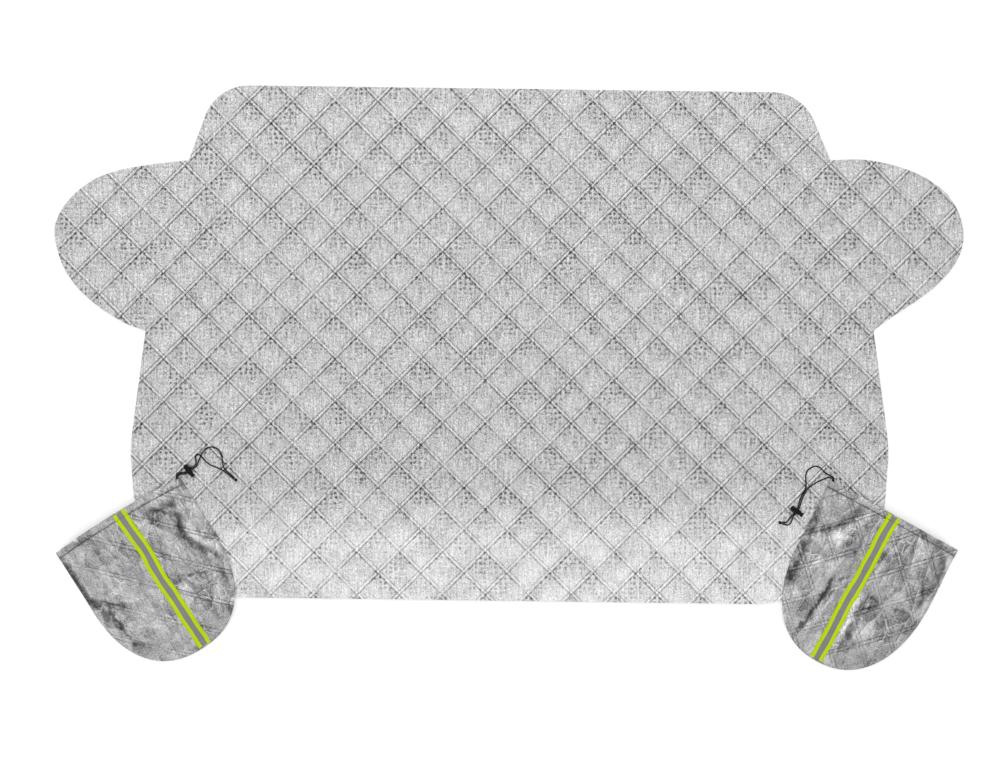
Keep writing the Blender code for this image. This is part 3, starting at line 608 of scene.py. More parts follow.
    def facets(self, plan, scale, light, line):
        """Painted light and shade of sharp-edged crumples: a level of its own for each facet, and their
        creased edges drawn darker or paler.
        """
        drift = self.noise(plan, 0.55 * scale, out="Color")
        drift = self.add("ShaderNodeVectorMath", {0: drift, "Scale": 0.55 / scale}, operation="SCALE")
        bent = self.add("ShaderNodeVectorMath", {0: plan, 1: drift}, operation="ADD")
        own = self.split(self.cells(bent, scale, out="Color", flat=True))[0]
        edge = self.cells(bent, scale, feature="DISTANCE_TO_EDGE", flat=True)
        crease = self.remap(edge, 0.0, 0.0014 * scale, 1.0, 0.0, smooth=True)
        sign = self.remap(own, 0.35, 0.65, -1.0, 0.7)
        return self.total((self.centred(own), light), (self.times(crease, sign), line)), edge


def quilted_foil():
    look = Look("silver_foil_quilted", Metallic=0.85, IOR=1.45)
    at = look.place()
    x, y, _ = look.split(at)
    # painted shade along the double lines of the seams, and a painted highlight on the raised line between
    # them, both fading at random
    uneven = look.remap(look.noise(at, 11), 0.36, 0.56, 0.55, 1.1)
    seam = look.times(look.seams(x, y, QUILT_SHIFT, SEAM_HALF, 0.0017, (0.9, 1.0)), uneven)
    ridge_highlight = look.times(look.seams(x, y, QUILT_SHIFT, 0.0, 0.0022), uneven)
    # painted shade: each diamond is drawn darker towards the roof edge, and more of its dots dark there: -1
    # at its lowest corner, 1 at its highest
    rise = look.total(-1.0, *(look.math("FRACT", look.times(across, 1 / QUILT_PITCH))
                              for across in look.diagonals(x, y, QUILT_SHIFT)))
    speckle, dots, fine = look.speckle(at, 0.72, 1.15, look.times(rise, 0.20))
    streaks = look.noise(look.stretch(at, (1.0, 0.07, 1.0)), 330, 1.0)
    # painted light: the cover is drawn paler towards its bonnet edge, in soft patches
    patches = look.remap(look.noise(at, 17, rough=0.6), 0.35, 0.65, 0.45, 1.15)
    painted_light_bonnet = look.times(look.remap(y, -0.235, -0.420, 0.0, 0.42, smooth=True), patches)
    level = look.total(1.04, speckle, (look.centred(streaks), 1.0), (look.centred(look.noise(at, 6)), 0.10),
                       (seam, -0.76), (ridge_highlight, 0.20), (rise, -0.13), painted_light_bonnet)
    height = look.total((dots, -0.35), (fine, 0.5), (seam, -0.5))
    return look.done(Base_Color=look.grey(look.most(level, 0.1), COVER_GREY),
                     Roughness=look.remap(fine, 0.3, 0.7, 0.36, 0.50), Normal=look.bump(height, 0.0008))


def crumpled_foil(side):
    look = Look(f"silver_foil_{side}_pouch", Metallic=0.85)
    plan = look.plan()
    x, y, _ = look.split(plan)
    phases, shares = POUCH_QUILT[side]
    # painted shade along the double lines of the quilting, fading at random, and a painted highlight on the
    # raised line between them
    uneven = look.remap(look.noise(plan, 9), 0.36, 0.56, 0.5, 1.15)
    seam = look.times(look.seams(x, y, phases, SEAM_HALF, 0.0019, shares), uneven)
    ridge_highlight = look.seams(x, y, phases, 0.0, 0.0022, shares)
    # painted light and shade of the crumples: each facet drawn at a level of its own, its creases darker or
    # paler
    long = look.stretch(plan, (1.0, 0.55, 1.0), (0, 0, CRUMPLE_SLANT[side]))
    wide, wide_edge = look.facets(long, 30, 0.72, -0.56)
    small, small_edge = look.facets(long, 78, 0.55, -0.58)
    crumpled = look.remap(look.noise(plan, 9, rough=0.6), 0.36, 0.60, 0.35, 1.25)
    speckle, dots, fine = look.speckle(plan, 0.34, 1.30)
    # painted light and shade of large soft crumples
    broad = look.noise(plan, 15, 3.0, 0.6, 0.5)
    level = look.total(1.03, speckle, (look.times(look.plus(wide, small), crumpled), 1.0),
                       (look.centred(broad), 1.45), (seam, -0.44), (ridge_highlight, 0.12))
    # painted shade and highlights of the folds, the hem line and the outline, from the skin's shade attribute
    level = look.times(look.most(level, 0.22), look.plus(look.shade(), 1.0))
    height = look.total((look.remap(wide_edge, 0.0, 0.30), 1.0), (look.remap(small_edge, 0.0, 0.30), 0.35),
                        (seam, -0.3))
    grain = look.total((dots, -0.35), (fine, 0.5))
    return look.done(Base_Color=look.grey(look.most(level, 0.06), POUCH_GREY[side]),
                     Roughness=look.remap(fine, 0.3, 0.7, 0.32, 0.46),
                     Normal=look.bump(grain, 0.0008, look.bump(height, 0.0030)))


def mottled(name, dark, light, scale, rough, relief=None, detail=2.0, span=(0.3, 0.7), grain=None,
            **values):
    """A noise between two colours and two roughnesses, with a bump of the same noise or of a finer one."""
    look = Look(name, **values)
    at = look.place()
    tone = look.noise(at, scale, detail, 0.6)
    if relief:
        look.done(Normal=look.bump(look.noise(at, grain, 2.0, 0.6) if grain else tone, relief))
    return look.done(Base_Color=look.mix(tone, dark, light), Roughness=look.remap(tone, *span, *rough))


def cut_edge():
    look = Look("wadding_edge", Roughness=0.95)
    at = look.place()
    layers = look.math("SINE", look.times(look.split(at)[2], 2 * math.pi / WADDING_LAYER))
    fluff = look.noise(look.stretch(at, (1, 1, 3)), 420, 3.0, 0.65)
    share = look.plus(look.times(layers, 0.12), fluff, clamp=True)
    return look.done(Base_Color=look.mix(share, (0.46, 0.46, 0.45), (0.74, 0.74, 0.72)),
                     Normal=look.bump(fluff, 0.0012))


def woven(name, dark, light, thread, gloss, metal=0.0, grain=0.0, **values):
    """A plain weave with threads this wide, along and across the tape."""
    look = Look(name, Metallic=metal, **values)
    plan = look.plan()
    x, y, _ = look.split(plan)
    warp, weft = (look.math("SINE", look.times(way, math.pi / thread)) for way in (x, y))
    cloth = look.plus(look.times(look.times(warp, weft), 0.5), 0.5)
    soiled, fuzz = look.noise(plan, 38, 3.0, 0.6), look.noise(plan, 1500, 1.0)
    uneven = look.plus(look.times(soiled, 0.4), look.times(fuzz, 0.3 + grain))
    share = look.plus(look.times(cloth, 0.45), uneven, clamp=True)
    height = look.plus(cloth, look.times(fuzz, 0.5))
    return look.done(Base_Color=look.mix(share, dark, light),
                     Roughness=look.remap(fuzz, 0.3, 0.7, gloss - 0.08, gloss + 0.10),
                     Normal=look.bump(height, 0.35 * thread))


def braided():
    """Black braid: strands cross at an angle round the cord."""
    look = Look("braided_cord", Specular_IOR_Level=0.10, Sheen_Weight=0.03, Sheen_Roughness=0.5)
    turn, along, _ = look.split(look.plan())
    u, v = look.times(turn, BRAID_STRANDS), look.times(along, 1 / BRAID_PITCH)
    strands = look.most(*(look.math("PINGPONG", look.math(way, u, v), 0.5) for way in ("ADD", "SUBTRACT")))
    fibre = look.noise(look.stretch(look.plan(), (40, 900, 1)), 4, 3.0, 0.6)
    share = look.plus(look.times(strands, 1.1), look.times(fibre, 0.5), clamp=True)
    height = look.plus(strands, look.times(fibre, 0.25))
    return look.done(Base_Color=look.mix(share, (0.001, 0.001, 0.0012), (0.008, 0.008, 0.009)),
                     Roughness=look.remap(fibre, 0.3, 0.7, 0.6, 0.85), Normal=look.bump(height, 0.0007))


def moulded(name, shade):
    return mottled(name, (shade, shade, shade), (1.9 * shade, 1.9 * shade, 1.95 * shade), 160, (0.34, 0.5),
                   0.00006, detail=3.0, grain=2600, Specular_IOR_Level=0.16)


def thread(name, colour):
    return mottled(name, tuple(0.6 * c for c in colour), colour, 1900, (0.7, 0.7), 0.0003,
                   Specular_IOR_Level=0.25)


# ---------------------------------------------------------------- quilted cover

def quilt_height(x, y):
    """The height of the cover's top."""
    a, b = (x + y) / math.sqrt(2) - QUILT_SHIFT[0], (y - x) / math.sqrt(2) - QUILT_SHIFT[1]
    fill = 1.0
    for across in (a, b):
        to_seam = np.abs((across + QUILT_PITCH / 2) % QUILT_PITCH - QUILT_PITCH / 2)
        fill = fill * np.interp(to_seam, QUILT_STEPS, QUILT_FILL)
    return GROOVE_Z + (CROWN_Z - GROOVE_Z) * fill


def make_cover(foil, edge_look):
    """The quilted sheet: a fine mesh for its top, a plain underside, and the cut edge between them."""
    steps = sorted({s for t in QUILT_STEPS for s in (-t, t)})[1:]
    reach = math.hypot(ARMPIT_X + EAR_REACH, max(ROOF_Y, -BONNET_Y)) + QUILT_PITCH
    count = math.ceil(reach / QUILT_PITCH)
    lines = np.array([i * QUILT_PITCH + s for i in range(-count, count + 1) for s in steps])
    a, b = np.meshgrid(lines + QUILT_SHIFT[0], lines + QUILT_SHIFT[1])
    spots = np.stack([(a - b).ravel(), (a + b).ravel()], axis=1) / math.sqrt(2)
    low, high = OUTLINE.min(0), OUTLINE.max(0)
    spots = spots[((spots > low) & (spots < high)).all(1)]
    spots = spots[edge_distance(spots) < -COVER_EDGE_MARGIN]
    ring = evenly(np.vstack([OUTLINE, OUTLINE[:1]]), COVER_EDGE_STEP)[:-1]
    plan = [Vector(p) for p in np.vstack([ring, spots])]
    verts, _, faces, _, _, _ = delaunay_2d_cdt(plan, [], [list(range(len(ring)))], 1, 1e-6)
    flat = np.array([tuple(v) for v in verts])
    top = np.column_stack([flat, quilt_height(flat[:, 0], flat[:, 1])])
    sides = {}
    for face in faces:
        for here, there in zip(face, face[1:] + face[:1]):
            if sides.pop((there, here), None) is None:
                sides[here, there] = True
    following = {here: there for here, there in sides}
    start = next(iter(following))
    loop = [start]
    while following[loop[-1]] != start:
        loop.append(following[loop[-1]])
    floor = np.column_stack([flat[loop], np.zeros(len(loop))])
    below = {v: len(top) + k for k, v in enumerate(loop)}
    walls = [(here, below[here], below[there], there) for here, there in zip(loop, loop[1:] + loop[:1])]
    looks = [0] * len(faces) + [1] * len(walls) + [0]
    faces = [*map(tuple, faces), *walls, tuple(below[v] for v in reversed(loop))]
    made = piece("foil_cover", np.vstack([top, floor]), faces, [foil, edge_look], look_of=looks,
                 sharp=55, node="quilted_cover")
    return made


# ---------------------------------------------------------------- mirror pouches

class Pouch:
    """A flat bag with a round closed end. Its frame has +X along its mouth and +Y out of it."""

    def __init__(self, side):
        self.side = side
        self.__dict__.update(POUCHES[side])
        self.middle = Vector((self.sign * (HIP_X + self.out), BONNET_Y + self.up, 0))
        self.matrix = Matrix.Translation(self.middle) @ Matrix.Rotation(math.radians(self.turn), 4, "Z")
        self.end = self.depth - POUCH_STRAIGHT
        hem = [0, 0.005, 0.010, *(HEM_WIDTH + k * HEM_STITCH for k in (-1, 0, 1, 3))]
        self.hem_rows = len(hem)
        self.rows = [(0, v) for v in hem] + [(0, v) for v in np.linspace(hem[-1], POUCH_STRAIGHT, 46)[1:]]
        self.rows += [(1, v) for v in np.linspace(0, 1, 79)[1:]]
        half = np.concatenate([np.linspace(0, 0.9, 54), np.linspace(0.9, 1, 9)[1:]])
        self.columns = np.concatenate([-half[:0:-1], half])

    def plan(self, u, kind, v):
        """A place seen from above: u across; v down the straight part (kind 0) or the round end (kind 1)."""
        if kind == 0:
            x, y = u * POUCH_HALF_WIDTH, -v
            y += self.bow * (1 - u * u) * (1 - float(ease(v / BOW_DEPTH)))
            depth = v
        else:
            across, down = u * math.sqrt(1 - v * v / 2), v * math.sqrt(1 - u * u / 2)
            r = math.hypot(across, down)
            n = self.roundness
            swell = ((abs(across) / r) ** n + (down / r) ** n) ** (-1 / n)
            x, y = across * swell * POUCH_HALF_WIDTH, -POUCH_STRAIGHT - down * swell * self.end
            depth = -y
        return x + self.lean * float(ease(depth / POUCH_STRAIGHT)), y

    def world(self, x, y, z=0.0):
        return self.matrix @ Vector((x, y, z))

    def grid(self, columns, rows):
        """The plan of a skin: places in the pouch's frame and in the world, and how far past the cover."""
        local = np.array([[self.plan(u, *row) for row in rows] for u in columns])
        c, s = math.cos(math.radians(self.turn)), math.sin(math.radians(self.turn))
        x = self.middle.x + local[..., 0] * c - local[..., 1] * s
        y = self.middle.y + local[..., 0] * s + local[..., 1] * c
        past = np.maximum(edge_distance(np.stack([x, y], -1).reshape(-1, 2)), 0).reshape(x.shape)
        u = np.array([[u] * len(rows) for u in columns])
        kind, v = (np.array([[row[k] for row in rows]] * len(columns)) for k in (0, 1))
        return dict(local=local, x=x, y=y, base=drape(past), u=u, kind=kind, v=v)

    def puff(self, g):
        """How full the bag is, from 0 at its edges to 1."""
        sides = ease((1 - np.abs(g["u"])) / PUFF_SIDES)
        closed = np.where(g["kind"] == 0, 1.0, ease((1 - g["v"]) / PUFF_END))
        return sides * closed

    def folds(self, x, y):
        """Broad folds that cross each other, as shares of the fold height."""
        total = 0.0
        for angle, length, phase, share in ((24, 0.118, 0.0, 0.42), (-37, 0.091, 1.7, 0.33),
                                            (71, 0.147, 3.9, 0.25)):
            a = math.radians(angle + 9 * math.sin(self.fold_phase))
            bend = 0.012 * np.sin(2 * math.pi * (x * math.sin(a) - y * math.cos(a)) / 0.21 + phase)
            wave = np.sin(2 * math.pi * (x * math.cos(a) + y * math.sin(a) + bend) / length
                          + phase + self.fold_phase)
            total = total + share * (1 - np.abs(wave)) ** 1.5
        return total

    def drawn(self, x, y, of):
        """The pouch's own folds at a place: their painted shade and highlights, or their heights in metres.
        """
        spots = np.stack([x.ravel(), y.ravel()], 1)
        total = np.zeros(len(spots))
        if of == "shade":
            rough = np.array([noise.noise(Vector((70 * a, 70 * b, 1.7)))
                              + 0.8 * noise.noise(Vector((170 * a, 170 * b, 9.1))) for a, b in spots])
        for shade, width, height, line in FOLDS[self.side]:
            width *= MM
            path = evenly(smooth_curve(np.array(line) * MM), 0.002)
            share = np.linspace(0, 1, len(path))
            taper = np.minimum(np.minimum(share, 1 - share) / 0.22 + 0.2, 1.0)
            run = headings(path)
            away = spots[:, None, :] - path[None, :, :]
            far = (away ** 2).sum(2)
            near = far.argmin(1)
            rows = np.arange(len(spots))
            off = away[rows, near]
            beside = np.sign(run[near, 0] * off[:, 1] - run[near, 1] * off[:, 0])
            d = beside * np.sqrt(far[rows, near])
            if of == "height":
                total += height * MM * taper[near] * np.exp(-(d / width) ** 2)
                continue
            # painted shade for dark folds and painted highlight for pale ones, soft on one side, sharp on the
            # other, with a lip of the opposite tone along the sharp side
            d = d + FOLD_JITTER * rough
            body = np.exp(-(np.where(d > 0, d / (0.55 * width), d / (1.15 * width))) ** 2)
            lip = np.exp(-((d - 1.05 * width) / (0.40 * width)) ** 2)
            total += taper[near] * shade * (1.95 * body * (1 + 0.6 * rough) - 0.5 * lip)
        return total.reshape(x.shape)

    def shade(self, g):
        """The painted shade and highlights of the skin: how much lighter or darker it is drawn at each place.
        """
        x, y = g["local"][..., 0], g["local"][..., 1]
        shade = self.drawn(x, y, "shade")
        straight = g["kind"] == 0
        # painted shade along the hem's sewn groove
        hem_line_shade = np.where(straight, np.exp(-((g["v"] - HEM_WIDTH) / (1.3 * MM)) ** 2), 0.0)
        # painted shade: the hem line is drawn darker still near where the cord leaves it, where the hem
        # puckers
        drawn_in = np.exp(-((x + self.sign * POUCH_HALF_WIDTH) / 0.045) ** 2)
        hem_line_shade = hem_line_shade * (1 + 0.8 * drawn_in)
        # painted shade along the bag's outline, at its sides and round end
        sides = np.exp(-((1 - np.abs(g["u"])) * POUCH_HALF_WIDTH / EDGE_TONE) ** 2)
        closed = np.where(straight, 0.0, np.exp(-((1 - g["v"]) * self.end / EDGE_TONE) ** 2))
        return np.maximum(shade - 0.68 * hem_line_shade - 0.25 * np.maximum(sides, closed), -0.8)

    def creases(self, x, y):
        """Small sharp creases, as shares of the crease height."""
        out = np.empty(x.shape)
        shift = 7.0 * self.sign
        for i in np.ndindex(x.shape):
            p = Vector((x[i] + shift, y[i], 0.3))
            wide = noise.noise(p * 13)
            mid = noise.noise(p * 27 + Vector((wide, 3.1, 0)))
            small = noise.noise(p * 58 + Vector((0, mid, 5.7)))
            out[i] = 0.62 * (1 - 2.2 * abs(wide)) + 0.5 * (1 - 2.2 * abs(mid)) + 0.22 * small
        return out

    def top(self, g, relief=True):
        """The height of the bag's upper side, with or without its folds and creases."""
        puff = self.puff(g)
        low = g["base"]
        z = low + POUCH_SEAM + puff * (POUCH_HEIGHT + POUCH_RISE * low - low - POUCH_SEAM)
        x, y = g["local"][..., 0], g["local"][..., 1]
        hem = (g["kind"] == 0) & (g["v"] <= HEM_WIDTH + 3 * HEM_STITCH)
        z = np.where(hem, np.maximum(z, low + HEM_THICKNESS), z)
        z = z - HEM_GROOVE * (hem & (np.abs(g["v"] - HEM_WIDTH) < 1e-6))
        if relief:
            z = z + np.where(hem, 0.0, FOLD_HEIGHT * puff * self.folds(x, y))
            z = z + self.drawn(x, y, "height") * np.clip(2.2 * puff, 0, 1) * np.where(hem, 0.4, 1.0)
            give = np.clip(0.25 + puff, 0, 1) * np.where(hem, 0.25, 1.0)
            give = give * (1 - (np.abs(g["u"]) > 0.995)) * np.where((g["kind"] == 1) & (g["v"] > 0.995), 0, 1)
            z = z + CREASE_HEIGHT * give * (self.creases(x, y) - 0.45)
        return z


def make_pouch(pouch, foil, inside):
    """The bag: an outer skin and a lining, joined round the mouth. Also its top as a tree, and its area."""
    points, faces, looks, plans, shades = [], [], [], [], []

    def add(look, *added):
        faces.extend(tuple(int(v) for v in face) for face in added)
        looks.extend([look] * len(added))

    def skin(g, z, shared=None, shade=None):
        ids = np.empty(z.shape, int)
        for i, j in np.ndindex(z.shape):
            if shared is not None and (i in (0, z.shape[0] - 1) or j == z.shape[1] - 1):
                ids[i, j] = shared[i, j]
                continue
            ids[i, j] = len(points)
            points.append((g["x"][i, j], g["y"][i, j], z[i, j]))
            plans.append(g["local"][i, j])
            shades.append(0.0 if shade is None else shade[i, j])
        return ids

    columns, rows = pouch.columns, pouch.rows
    outer = pouch.grid(columns, rows)
    top, low = skin(outer, pouch.top(outer), shade=pouch.shade(outer)), skin(outer, outer["base"])
    inner = pouch.grid(columns[1:-1], rows[:1] + rows[pouch.hem_rows:-1:3] + rows[-2:-1])
    z_under = inner["base"] + POUCH_WALL
    z_over = np.minimum(pouch.top(inner, relief=False) - POUCH_WALL, pouch.top(inner) - 0.8 * POUCH_WALL)
    z_over = np.maximum(z_over, z_under + 0.4 * MM)
    under = skin(inner, z_under)
    over = skin(inner, z_over, shared=under)
    for ids, look in ((top, 0), (low, 0), (under, 1), (over, 1)):
        for i, j in np.ndindex(ids.shape[0] - 1, ids.shape[1] - 1):
            a, b, c, d = ids[i, j], ids[i + 1, j], ids[i + 1, j + 1], ids[i, j + 1]
            add(look, (a, b, c), (a, c, d))
    last, far = len(rows) - 1, len(columns) - 1
    for wall in ([(0, j) for j in range(last + 1)], [(far, j) for j in range(last + 1)],
                 [(i, last) for i in range(far + 1)]):
        for a, b in zip(wall, wall[1:]):
            add(0, (top[a], top[b], low[b], low[a]))
    for i in range(1, far - 1):
        add(0, (top[i, 0], top[i + 1, 0], over[i, 0], over[i - 1, 0]),
            (low[i, 0], low[i + 1, 0], under[i, 0], under[i - 1, 0]))
    for end, near, mid in ((0, 1, under[0, 0]), (far, far - 1, under[-1, 0])):
        add(0, (top[end, 0], top[near, 0], mid), (top[end, 0], mid, low[end, 0]),
            (low[end, 0], mid, low[near, 0]))
    made = piece(f"{pouch.side}_foil_pouch", points, faces, [foil, inside], uv=plans, shade=shades,
                 look_of=looks, node=f"{pouch.side}_mirror_pouch", sharp=50)

    def plan_size(face):
        (ax, ay), (bx, by), (cx, cy) = (points[v][:2] for v in face)
        return 0.5 * abs((bx - ax) * (cy - ay) - (cx - ax) * (by - ay))

    upper = faces[:2 * last * far]
    tree = BVHTree.FromPolygons([Vector(map(float, p)) for p in points[:top.size]], upper)
    return made, tree, sum(plan_size(face) for face in upper)


def drop(tree, x, y):
    """The height of the pouch's top at a place, and its normal."""
    hit, normal, _, _ = tree.ray_cast(Vector((x, y, 0.5)), Vector((0, 0, -1)))
    if hit is None:
        hit, normal, _, _ = tree.find_nearest(Vector((x, y, 0.01)))
    return hit.z, normal


def tape_line(pouch):
    """The tape's middle, in the pouch's frame, from the mouth to the closed end."""
    path = [p for p in TAPE_PATHS[pouch.side] if -p[1] * MM < pouch.depth - 0.03]
    path.append((TAPE_PATHS[pouch.side][-1][0], -(pouch.depth - TAPE_END) / MM))
    line = evenly(smooth_curve([(x * MM, y * MM) for x, y in path]), TAPE_STEP)
    edge = pouch.bow * (1 - (line[:, 0] / POUCH_HALF_WIDTH) ** 2)
    return line[line[:, 1] < edge - 0.0006]


def make_tape(pouch, tree, slot, width, low, thickness, look, across=9):
    """A ribbon that follows the crumpled skin, low above it."""
    line = tape_line(pouch)
    side, along = sideways(line), lengths(line)
    n = len(line)
    tops, pairs = np.empty((across, n, 3)), np.empty((across, n, 2))
    for i, share in enumerate(np.linspace(-0.5, 0.5, across)):
        spot = line + side * share * width
        if abs(share) == 0.5:
            wobble = 0.4 * MM * np.sin(along / 0.011 + pouch.fold_phase)
            spot = line + side * (share * width + wobble * np.sign(share))[:, None]
        for j, (x, y) in enumerate(spot):
            at = pouch.world(x, y)
            tops[i, j] = (at.x, at.y, drop(tree, at.x, at.y)[0] + low)
            pairs[i, j] = (share * width, along[j])
    heights = tops[..., 2]
    smoothed = heights.copy()
    smoothed[:, 1:-1] = (heights[:, :-2] + 2 * heights[:, 1:-1] + heights[:, 2:]) / 4
    tops[..., 2] = np.maximum(smoothed, heights)
    points = np.vstack([tops.reshape(-1, 3), (tops + (0, 0, thickness)).reshape(-1, 3)])
    uv = np.vstack([pairs.reshape(-1, 2)] * 2)
    size = across * n
    faces = [(a, a + n, a + n + 1, a + 1) for level in (0, size) for i in range(across - 1)
             for a in range(level + i * n, level + i * n + n - 1)]
    ids = np.arange(size).reshape(across, n)
    loop = np.concatenate([ids[:, 0], ids[-1, 1:], ids[-2::-1, -1], ids[0, -2:0:-1]]).tolist()
    faces += [(here, there, size + there, size + here) for here, there in zip(loop, loop[1:] + loop[:1])]
    name = f"{pouch.side}_{slot}"
    return piece(f"{name}_weave", points, faces, [look], uv=uv, node=name)


def exit_place(pouch):
    """Where the cord leaves the hem, in the pouch's frame, and its height."""
    x = -pouch.sign * (POUCH_HALF_WIDTH - EXIT_INSET)
    y = pouch.bow * (1 - (x / POUCH_HALF_WIDTH) ** 2)
    at = pouch.world(x, y)
    past = max(float(edge_distance(np.array([[at.x, at.y]]))[0]), 0)
    return x, y, float(drape(past)) + HEM_THICKNESS / 2


def near_exit(pouch, x, y, z):
    """A place this many mm from where the cord leaves the hem, at a height."""
    ex, ey, _ = exit_place(pouch)
    return pouch.world(ex + x * MM, ey + y * MM, z)


def make_stitches(name, lines, look, radius):
    """Rows of short threads along lines of (place, normal) pairs."""
    length, gap = STITCH_LENGTH, STITCH_GAP
    points, faces = [], []
    for line in lines:
        spots = np.array([[*p] for p, _ in line], float)
        normals = np.array([[*n] for _, n in line], float)
        along = lengths(spots)
        start = gap
        while start + length < along[-1]:
            at = np.array([start, start + length * 0.25, start + length * 0.75, start + length])
            row, up = (np.stack([np.interp(at, along, rows[:, k]) for k in range(3)], 1)
                       for rows in (spots, normals))
            up /= np.linalg.norm(up, axis=1)[:, None]
            ahead = row[3] - row[0]
            ahead /= np.linalg.norm(ahead)
            first = len(points)
            for p, n, wide, rise in zip(row, up, (0.45, 1, 1, 0.45), (-0.1, 0.75, 0.75, -0.1)):
                side = np.cross(ahead, n)
                side /= np.linalg.norm(side)
                for m in range(5):
                    a = 2 * math.pi * m / 5
                    points.append(p + n * radius * (rise + wide * math.sin(a))
                                  + side * radius * wide * math.cos(a))
            for k in range(3):
                for m in range(5):
                    i, j = first + 5 * k + m, first + 5 * k + (m + 1) % 5
                    faces.append((i, j, j + 5, i + 5))
            faces += [tuple(range(end, end + 5)) for end in (first, first + 15)]
            start += length + gap
    return piece(name, points, faces, [look])


def surface_line(pouch, tree, places, lift=THREAD_LIFT):
    """Places in the pouch's frame as (place, normal) pairs just above its top."""
    line = []
    for x, y in places:
        at = pouch.world(x, y)
        z, normal = drop(tree, at.x, at.y)
        line.append(((at.x, at.y, z + lift), normal if normal.z > 0 else -normal))
    return line


def sew(pouch, tree, tape_thread, hem_thread):
    """The stitches along both edges of the tape, and along the hem, where they run over the tape too."""
    line = tape_line(pouch)
    beside = sideways(line)
    sewn = [surface_line(pouch, tree, line + beside * s * (TAPE_WIDTH / 2 - TAPE_MARGIN),
                         GAP + TAPE_THICKNESS + THREAD_LIFT) for s in (-1, 1)]
    threads = make_stitches(f"{pouch.side}_tape_stitches", sewn, tape_thread, THREAD_RADIUS)
    flat = 1 - float(ease(HEM_WIDTH / BOW_DEPTH))
    hem = [(u * POUCH_HALF_WIDTH, pouch.bow * (1 - u * u) * flat - HEM_WIDTH)
           for u in np.linspace(-0.985, 0.985, 120)]
    middle = np.array([pouch.world(*p)[:2] for p in line])
    over = []
    for (x, y, z), normal in surface_line(pouch, tree, hem):
        off = np.linalg.norm(middle - (x, y), axis=1).min()
        if off < TAPE_WIDTH / 2 + HEM_THREAD_RADIUS:
            z = z + GAP + TAPE_THICKNESS + (GAP + STRIP_THICKNESS) * (off < STRIP_WIDTH / 2)
        over.append(((x, y, z), normal))
    return threads, make_stitches(f"{pouch.side}_hem_stitches", [over], hem_thread, HEM_THREAD_RADIUS)


# ---------------------------------------------------------------- drawcords and locks

def lock_frame(pouch):
    """The lock's frame: +X from its closed end to its button."""
    x, y, heading, _ = LOCKS[pouch.side]
    centre = near_exit(pouch, x, y, CROWN_Z + GAP + LOCK_DIAMETER / 2)
    turn = Matrix.Rotation(math.radians(pouch.turn + heading), 4, "Z")
    return Matrix.Translation(centre) @ turn @ Matrix.Translation((-LOCK_LENGTH / 2, 0, 0))


def strand_route(pouch, strand):
    """The places that a strand passes, from inside the hem through the lock to the knot."""
    ex, ey, ez = exit_place(pouch)
    near = -1 if strand == "a" else 1
    before, after = ([near_exit(pouch, x, y, CROWN_Z + z * MM) for x, y, z in route]
                     for route in ROUTES[pouch.side][strand])
    offset = near * -pouch.sign * STRAND_PITCH / 2
    hem = [pouch.world(ex + offset, y, ez) for y in (ey - EXIT_DEPTH + GAP, ey - EXIT_DEPTH / 2, ey)]
    place = lock_frame(pouch)
    way = LOCKS[pouch.side][3]
    station = CORD_STATION + near * STRAND_PITCH / 2
    lock = [place @ Vector((station, way * y, 0)) for y in (-0.0085, -0.003, 0.003, 0.0085)]
    kx, ky, heading = KNOTS[pouch.side]
    knot = near_exit(pouch, kx, ky, CROWN_Z + GAP + KNOT_DIAMETER / 2)
    a = math.radians(heading + pouch.turn)
    ahead, across = Vector((math.cos(a), math.sin(a), 0)), Vector((-math.sin(a), math.cos(a), 0))
    beside = knot + across * (near * STRAND_PITCH / 2)
    tail = [beside - ahead * 0.006 - Vector((0, 0, 0.6 * MM)), beside - ahead * GAP]
    return hem + before + lock + after + tail


def lathe(profile, segments=56):
    """A turned shape round X from its (along, radius) profile."""
    points, faces, rings = [], [], []
    for along, radius in profile:
        if radius == 0:
            rings.append([len(points)] * segments)
            points.append((along, 0, 0))
            continue
        rings.append(list(range(len(points), len(points) + segments)))
        for k in range(segments):
            a = 2 * math.pi * k / segments
            points.append((along, radius * math.cos(a), radius * math.sin(a)))
    for here, there in zip(rings, rings[1:]):
        for k in range(segments):
            m = (k + 1) % segments
            face = list(dict.fromkeys((here[k], here[m], there[m], there[k])))
            if len(face) > 2:
                faces.append(tuple(face))
    return points, faces


def rounded(profile, radius, steps=4):
    """The profile of (along, radius) with each of its corners between straight runs rounded."""
    out = [profile[0]]
    for before, here, after in zip(profile, profile[1:], profile[2:]):
        p, q, r = (np.array(v, float) for v in (before, here, after))
        one, two = np.linalg.norm(p - q), np.linalg.norm(r - q)
        cut = min(radius, 0.45 * one, 0.45 * two)
        turn = abs(np.cross((q - p) / one, (r - q) / two))
        if turn < 0.5:
            out.append(here)
            continue
        start, end = q + (p - q) / one * cut, q + (r - q) / two * cut
        for k in range(steps + 1):
            t = k / steps
            out.append(tuple((1 - t) ** 2 * start + 2 * t * (1 - t) * q + t * t * end))
    return out + [profile[-1]]


